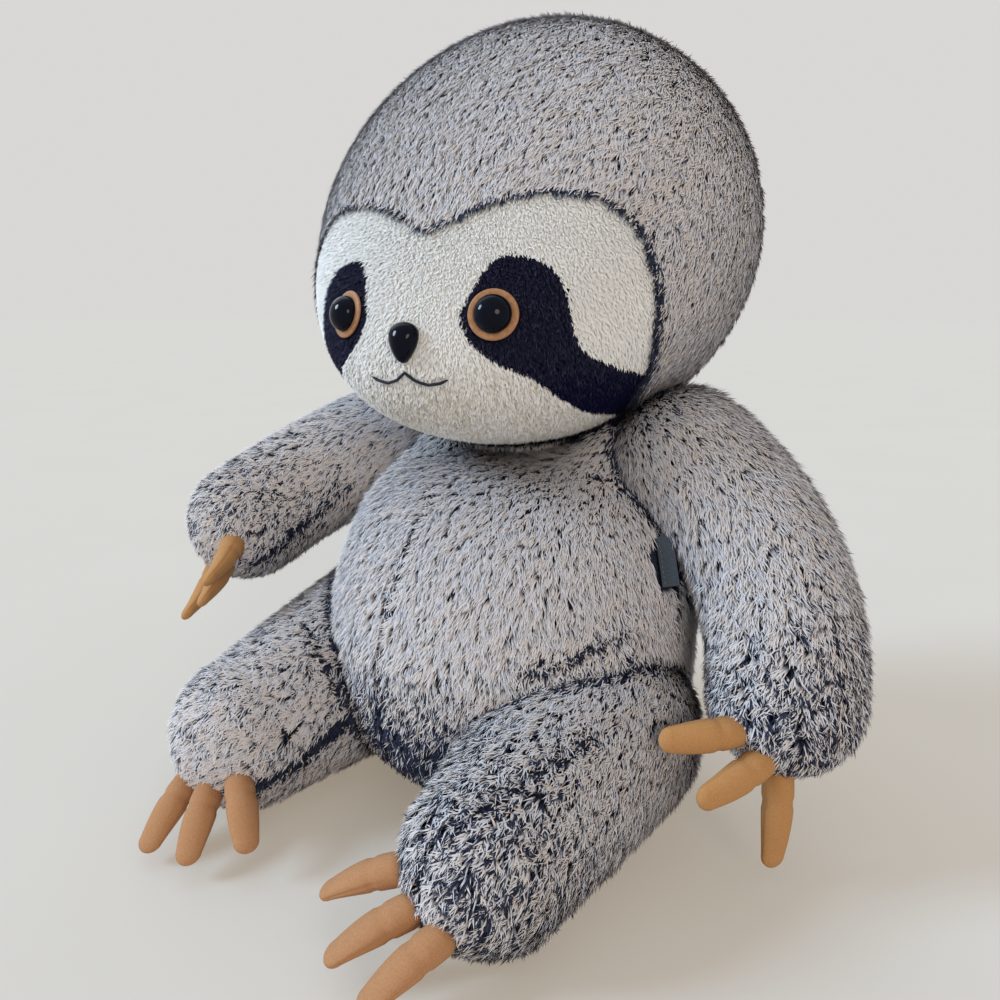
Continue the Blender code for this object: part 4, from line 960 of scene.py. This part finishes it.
def limb_pieces(word, part, side, form, place):
    """A limb's cloth, its long pile, and the short pile where it is pressed, seen when it swings away."""
    body = f"{word}_{part}"
    cloth = skin(f"{body}_cloth", place, *GRIDS[part], DARK_CLOTH)
    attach(cloth, body)
    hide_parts(f"{body}_cover", f"{body}_stuffing")
    rng = np.random.default_rng(SEED + 3 + 2 * (part == "leg") + (side < 0))
    roots, out = scatter(place, LONG_PILE, rng)
    share = limb_gap(roots, form)[1]
    above = roots[:, 2] > LIMB_FLOOR_ROOM
    level, under = torso_level(roots), head_gap(roots)
    stay = (torso_level(roots, SKIN_ROOM) > 1) & above & (under > LIMB_HEAD_ROOM)
    beside = (level - 1) * TORSO_HALF_WIDTH
    # Painted shade where the limb's pile meets the torso or the head
    join_shade = bell(np.maximum(0, np.minimum(beside, under)), JOIN_SHADE_REACH)
    flow = limb_frame(form, share)[1] + np.array(LIMB_DROOP)
    first, last = PILE_DARK[body]
    end = smooth_step(*LIMB_END, share)
    dark, mess = first + (last - first) * end, LIMB_MESS[0] + LIMB_MESS[1] * end
    furred(f"{body}_pile", body, roots[stay], out[stay], flow[stay], join_shade[stay], rng, dark[stay], mess[stay])
    every_second = np.arange(len(roots)) % 2 == 0
    pressed = ~stay & (level > PRESSED_LEVEL) & above & every_second
    pile(f"{body}_pressed_pile", body, roots[pressed], out[pressed], flow[pressed], LONG_PILE, GREY_LOOK, rng,
         *PRESSED_PILE)


def neck():
    def ball(u):
        return NECK_CENTRE + u * NECK_RADIUS

    cloth = skin("neck_cloth", ball, *GRIDS["neck"], DARK_CLOTH, inset=NECK_INSET)
    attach(cloth, "neck")
    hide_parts("neck_stuffing")
    rng = np.random.default_rng(SEED + 9)
    roots, out = scatter(ball, LONG_PILE, rng)
    stay = (head_gap(roots) > -UNDER_HEAD) & (torso_level(roots, -UNDER_TORSO) > 1)
    flow = np.broadcast_to((0.0, 0.0, -1.0), roots.shape)[stay]
    pile("neck_pile", "neck", roots[stay], out[stay], flow, LONG_PILE, GREY_LOOK, rng, *NECK_PILE)


# Eyes, nose and mouth
def on_face(across, height):
    """Place and outward normal on the head's front."""
    u = face_units(np.array((across,)), np.array((height,)))
    return Vector(head_form(u)[0]), Vector(normals(head_form, u)[0])


def facing(normal, place):
    """Matrix that takes local +Z to the normal, with local +Y up."""
    side = Vector((0, 0, 1)).cross(normal).normalized()
    return Matrix.Translation(place) @ Matrix((side, normal.cross(side), normal)).transposed().to_4x4()


def turned(name, profile, placed, material, steps=64):
    """A profile of (radius, height) points turned about local Z; it starts and ends on the axis."""
    points, rings, faces = [], [], []
    for radius, height in profile:
        turns = [2 * math.pi * i / steps for i in range(steps if radius else 1)]
        rings.append(range(len(points), len(points) + len(turns)))
        points += [placed @ Vector((radius * math.cos(a), radius * math.sin(a), height)) for a in turns]
    for below, above in zip(rings, rings[1:]):
        for i in range(steps):
            n = (i + 1) % steps
            corners = [ring[k % len(ring)] for ring, k in ((below, i), (below, n), (above, n), (above, i))]
            faces.append(tuple(dict.fromkeys(corners)))
    return new_object(name, points, faces, material)


def swept(path, aside, radii, sides, base=0):
    """Points and faces of a round thread with closed ends along a path; base is the first point's number."""
    run = unit(np.gradient(path, axis=0))
    wide = unit(np.cross(run, aside))
    turn = 2 * math.pi * np.arange(sides)[:, None] / sides
    ring = wide[:, None] * np.cos(turn) + np.cross(run, wide)[:, None] * np.sin(turn)
    points = path[:, None] + ring * radii[:, None, None]
    here = base + np.arange(len(path) * sides).reshape(-1, sides)
    return points.reshape(-1, 3), walls(here) + [here[0, ::-1].tolist(), here[-1].tolist()]


def arc(centre, radius, start, end, steps):
    """(radius, height) points of a round stretch of a profile."""
    angles = (math.radians(start + (end - start) * i / steps) for i in range(steps + 1))
    return [(max(0.0, centre[0] + radius * math.cos(a)), centre[1] + radius * math.sin(a)) for a in angles]


def eyes():
    for side, word in SIDES:
        place, normal = on_face(side * EYE[0], EYE[1])
        placed = facing(normal, place - normal * RING_SINK)
        inner, recess = EYE_RING_RADIUS - RING_EDGE, RING_FRONT - RING_RECESS
        profile = [(0.0, RING_BACK), (inner, RING_BACK)]
        profile += arc((inner, RING_BACK + RING_EDGE), RING_EDGE, -90, 90, 10)
        profile += [(EYE_RADIUS + RING_LIP, RING_FRONT), (EYE_RADIUS, recess), (0.0, recess)]
        ring = turned(f"eye_rim_{word}", profile, placed, LEATHER)
        seat, wall = RING_FRONT - EYE_SEAT, RING_FRONT + EYE_WALL
        dome = [(0.0, seat), (EYE_RADIUS, seat)]
        for step in range(EYE_STEPS):
            angle = math.pi / 2 * step / EYE_STEPS
            dome.append((EYE_RADIUS * math.cos(angle), wall + EYE_DOME * math.sin(angle)))
        dome.append((0.0, wall + EYE_DOME))
        eye = turned(f"eye_dome_{word}", dome, placed, BLACK_GLOSS)
        parts = (ring, f"eye_ring_{word}", "leather_tan"), (eye, f"eye_{word}", "gloss_black")
        for piece, node_name, slot in parts:
            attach(piece, "head")
            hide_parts(node_name)


def nose():
    place, normal = on_face(0.0, NOSE_HEIGHT)
    placed = facing(normal, place - normal * NOSE_SINK)
    units, faces = sphere_units(*GRIDS["nose"])
    across = NOSE_HALF * units[:, 0] * (1 + NOSE_TAPER * units[:, 1])
    rise = np.clip(units[:, 2], 0, 1)
    bulge = np.sqrt(rise) * NOSE_ROUND + rise * (1 - NOSE_ROUND)
    shape = np.stack((across, NOSE_HALF * NOSE_TALL * units[:, 1], NOSE_DEPTH * bulge), 1)
    piece = new_object("nose_dome", [placed @ Vector(p) for p in shape], faces, BLACK_GLOSS)
    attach(piece, "head")
    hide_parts("nose")


def mouth():
    """A twisted thread with thin ends along the mouth."""
    across = np.linspace(0, 1, MOUTH_POINTS)
    dip = np.interp(across, *zip(*MOUTH_SHARES))
    for _ in range(3):
        dip[1:-1] = (dip[:-2] + dip[1:-1] * 2 + dip[2:]) / 4
    x = np.concatenate((-across[::-1], across[1:])) * MOUTH_HALF
    z = MOUTH_HEIGHT - np.concatenate((dip[::-1], dip[1:])) * MOUTH_DIP
    u = face_units(x, z)
    path = head_form(u) + normals(head_form, u) * MOUTH_LIFT
    share = np.linspace(0, 1, len(path))
    swell = np.minimum(1, np.minimum(share, 1 - share) * THREAD_ENDS[0] + THREAD_ENDS[1])
    twist = 1 + THREAD_TWIST[0] * np.cos(np.arange(len(path)) * THREAD_TWIST[1])
    points, faces = swept(path, (0, 1, 0), THREAD_RADIUS * swell * twist, THREAD_SIDES)
    thread = new_object("mouth_thread", points, faces, THREAD_BLACK)
    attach(thread, "head")
    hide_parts("mouth_stitching")


# Claws and label
def claws():
    """A stuffed suede finger in place of each claw, laid on the solid's own axis."""
    for joint in frame["joints"]:
        name = joint["child"]
        if "claw" not in name:
            continue
        pivot = np.array(joint["pos_m"])
        bend_axis = np.array(joint["axis"])
        co = node_points(name)
        far = co[np.linalg.norm(co - pivot, axis=1).argsort()[-8:]].mean(0)
        along = unit((far - pivot) - bend_axis * ((far - pivot) @ bend_axis))
        palm = np.cross(bend_axis, along)
        pivot = pivot + CLAW_SHIFTS[name.rsplit("_claw", 1)[0]]
        reach = CLAW_SIZES["reach"] * (LOWER_CLAW if "hand_claw_lower" in name else 1.0)
        tip = pivot + along * reach
        elbow = pivot + along * reach / 2 + palm * CLAW_SIZES["curl"]
        radii = CLAW_SIZES["root"], CLAW_SIZES["tip"]
        form = limb(pivot, elbow, tip, radii, palm, CLAW_SIZES["swell"], CLAW_SIZES["flat"])
        suede = SUEDES["hand" if "hand" in name else "foot"]
        piece = skin(f"{name}_suede", lambda u: claw_form(form, u), *GRIDS["claw"], suede, inset=0.0)
        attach(piece, name)
        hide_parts(name)


def label():
    """The bare cloth label, with a row of stitches across its seam end on both faces."""
    repaint("side_label", LABEL_CLOTH)
    middle, along, across, through = (np.array(way) for way in LABEL_SEAM.values())
    shape = STITCH["radius"] * np.array(STITCH_SHAPE)
    half = along * STITCH["half"]
    points, faces = [], []
    for face in (1, -1):
        row = middle + across * STITCH["row"] + through * (face * STITCH["lift"])
        bow = through * (face * STITCH["bow"])
        for step in STITCHES:
            centre = row + along * (STITCH["pitch"] * step)
            path = np.stack((centre - half, centre + bow, centre + half))
            stitch, sides = swept(path, STITCH_ASIDE, shape, STITCH_SIDES, len(points))
            points += list(stitch)
            faces += sides
    stitches = new_object("label_stitches", points, faces, LABEL_THREAD)
    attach(stitches, "label")


def hidden_nodes():
    """Nodes that keep their own shape inside the toy."""
    repaint("pellet_bag", LINEN)
    for name in ("eye_washer_left", "eye_washer_right", "nose_washer"):
        repaint(name, WASHER_PLASTIC)


def repaint(name, material):
    mesh = frame["nodes"][name].data
    mesh.materials.clear()
    mesh.materials.append(material)


stage()
torso()
neck()
head()
face()
arms()
legs()
eyes()
nose()
mouth()
claws()
label()
hidden_nodes()
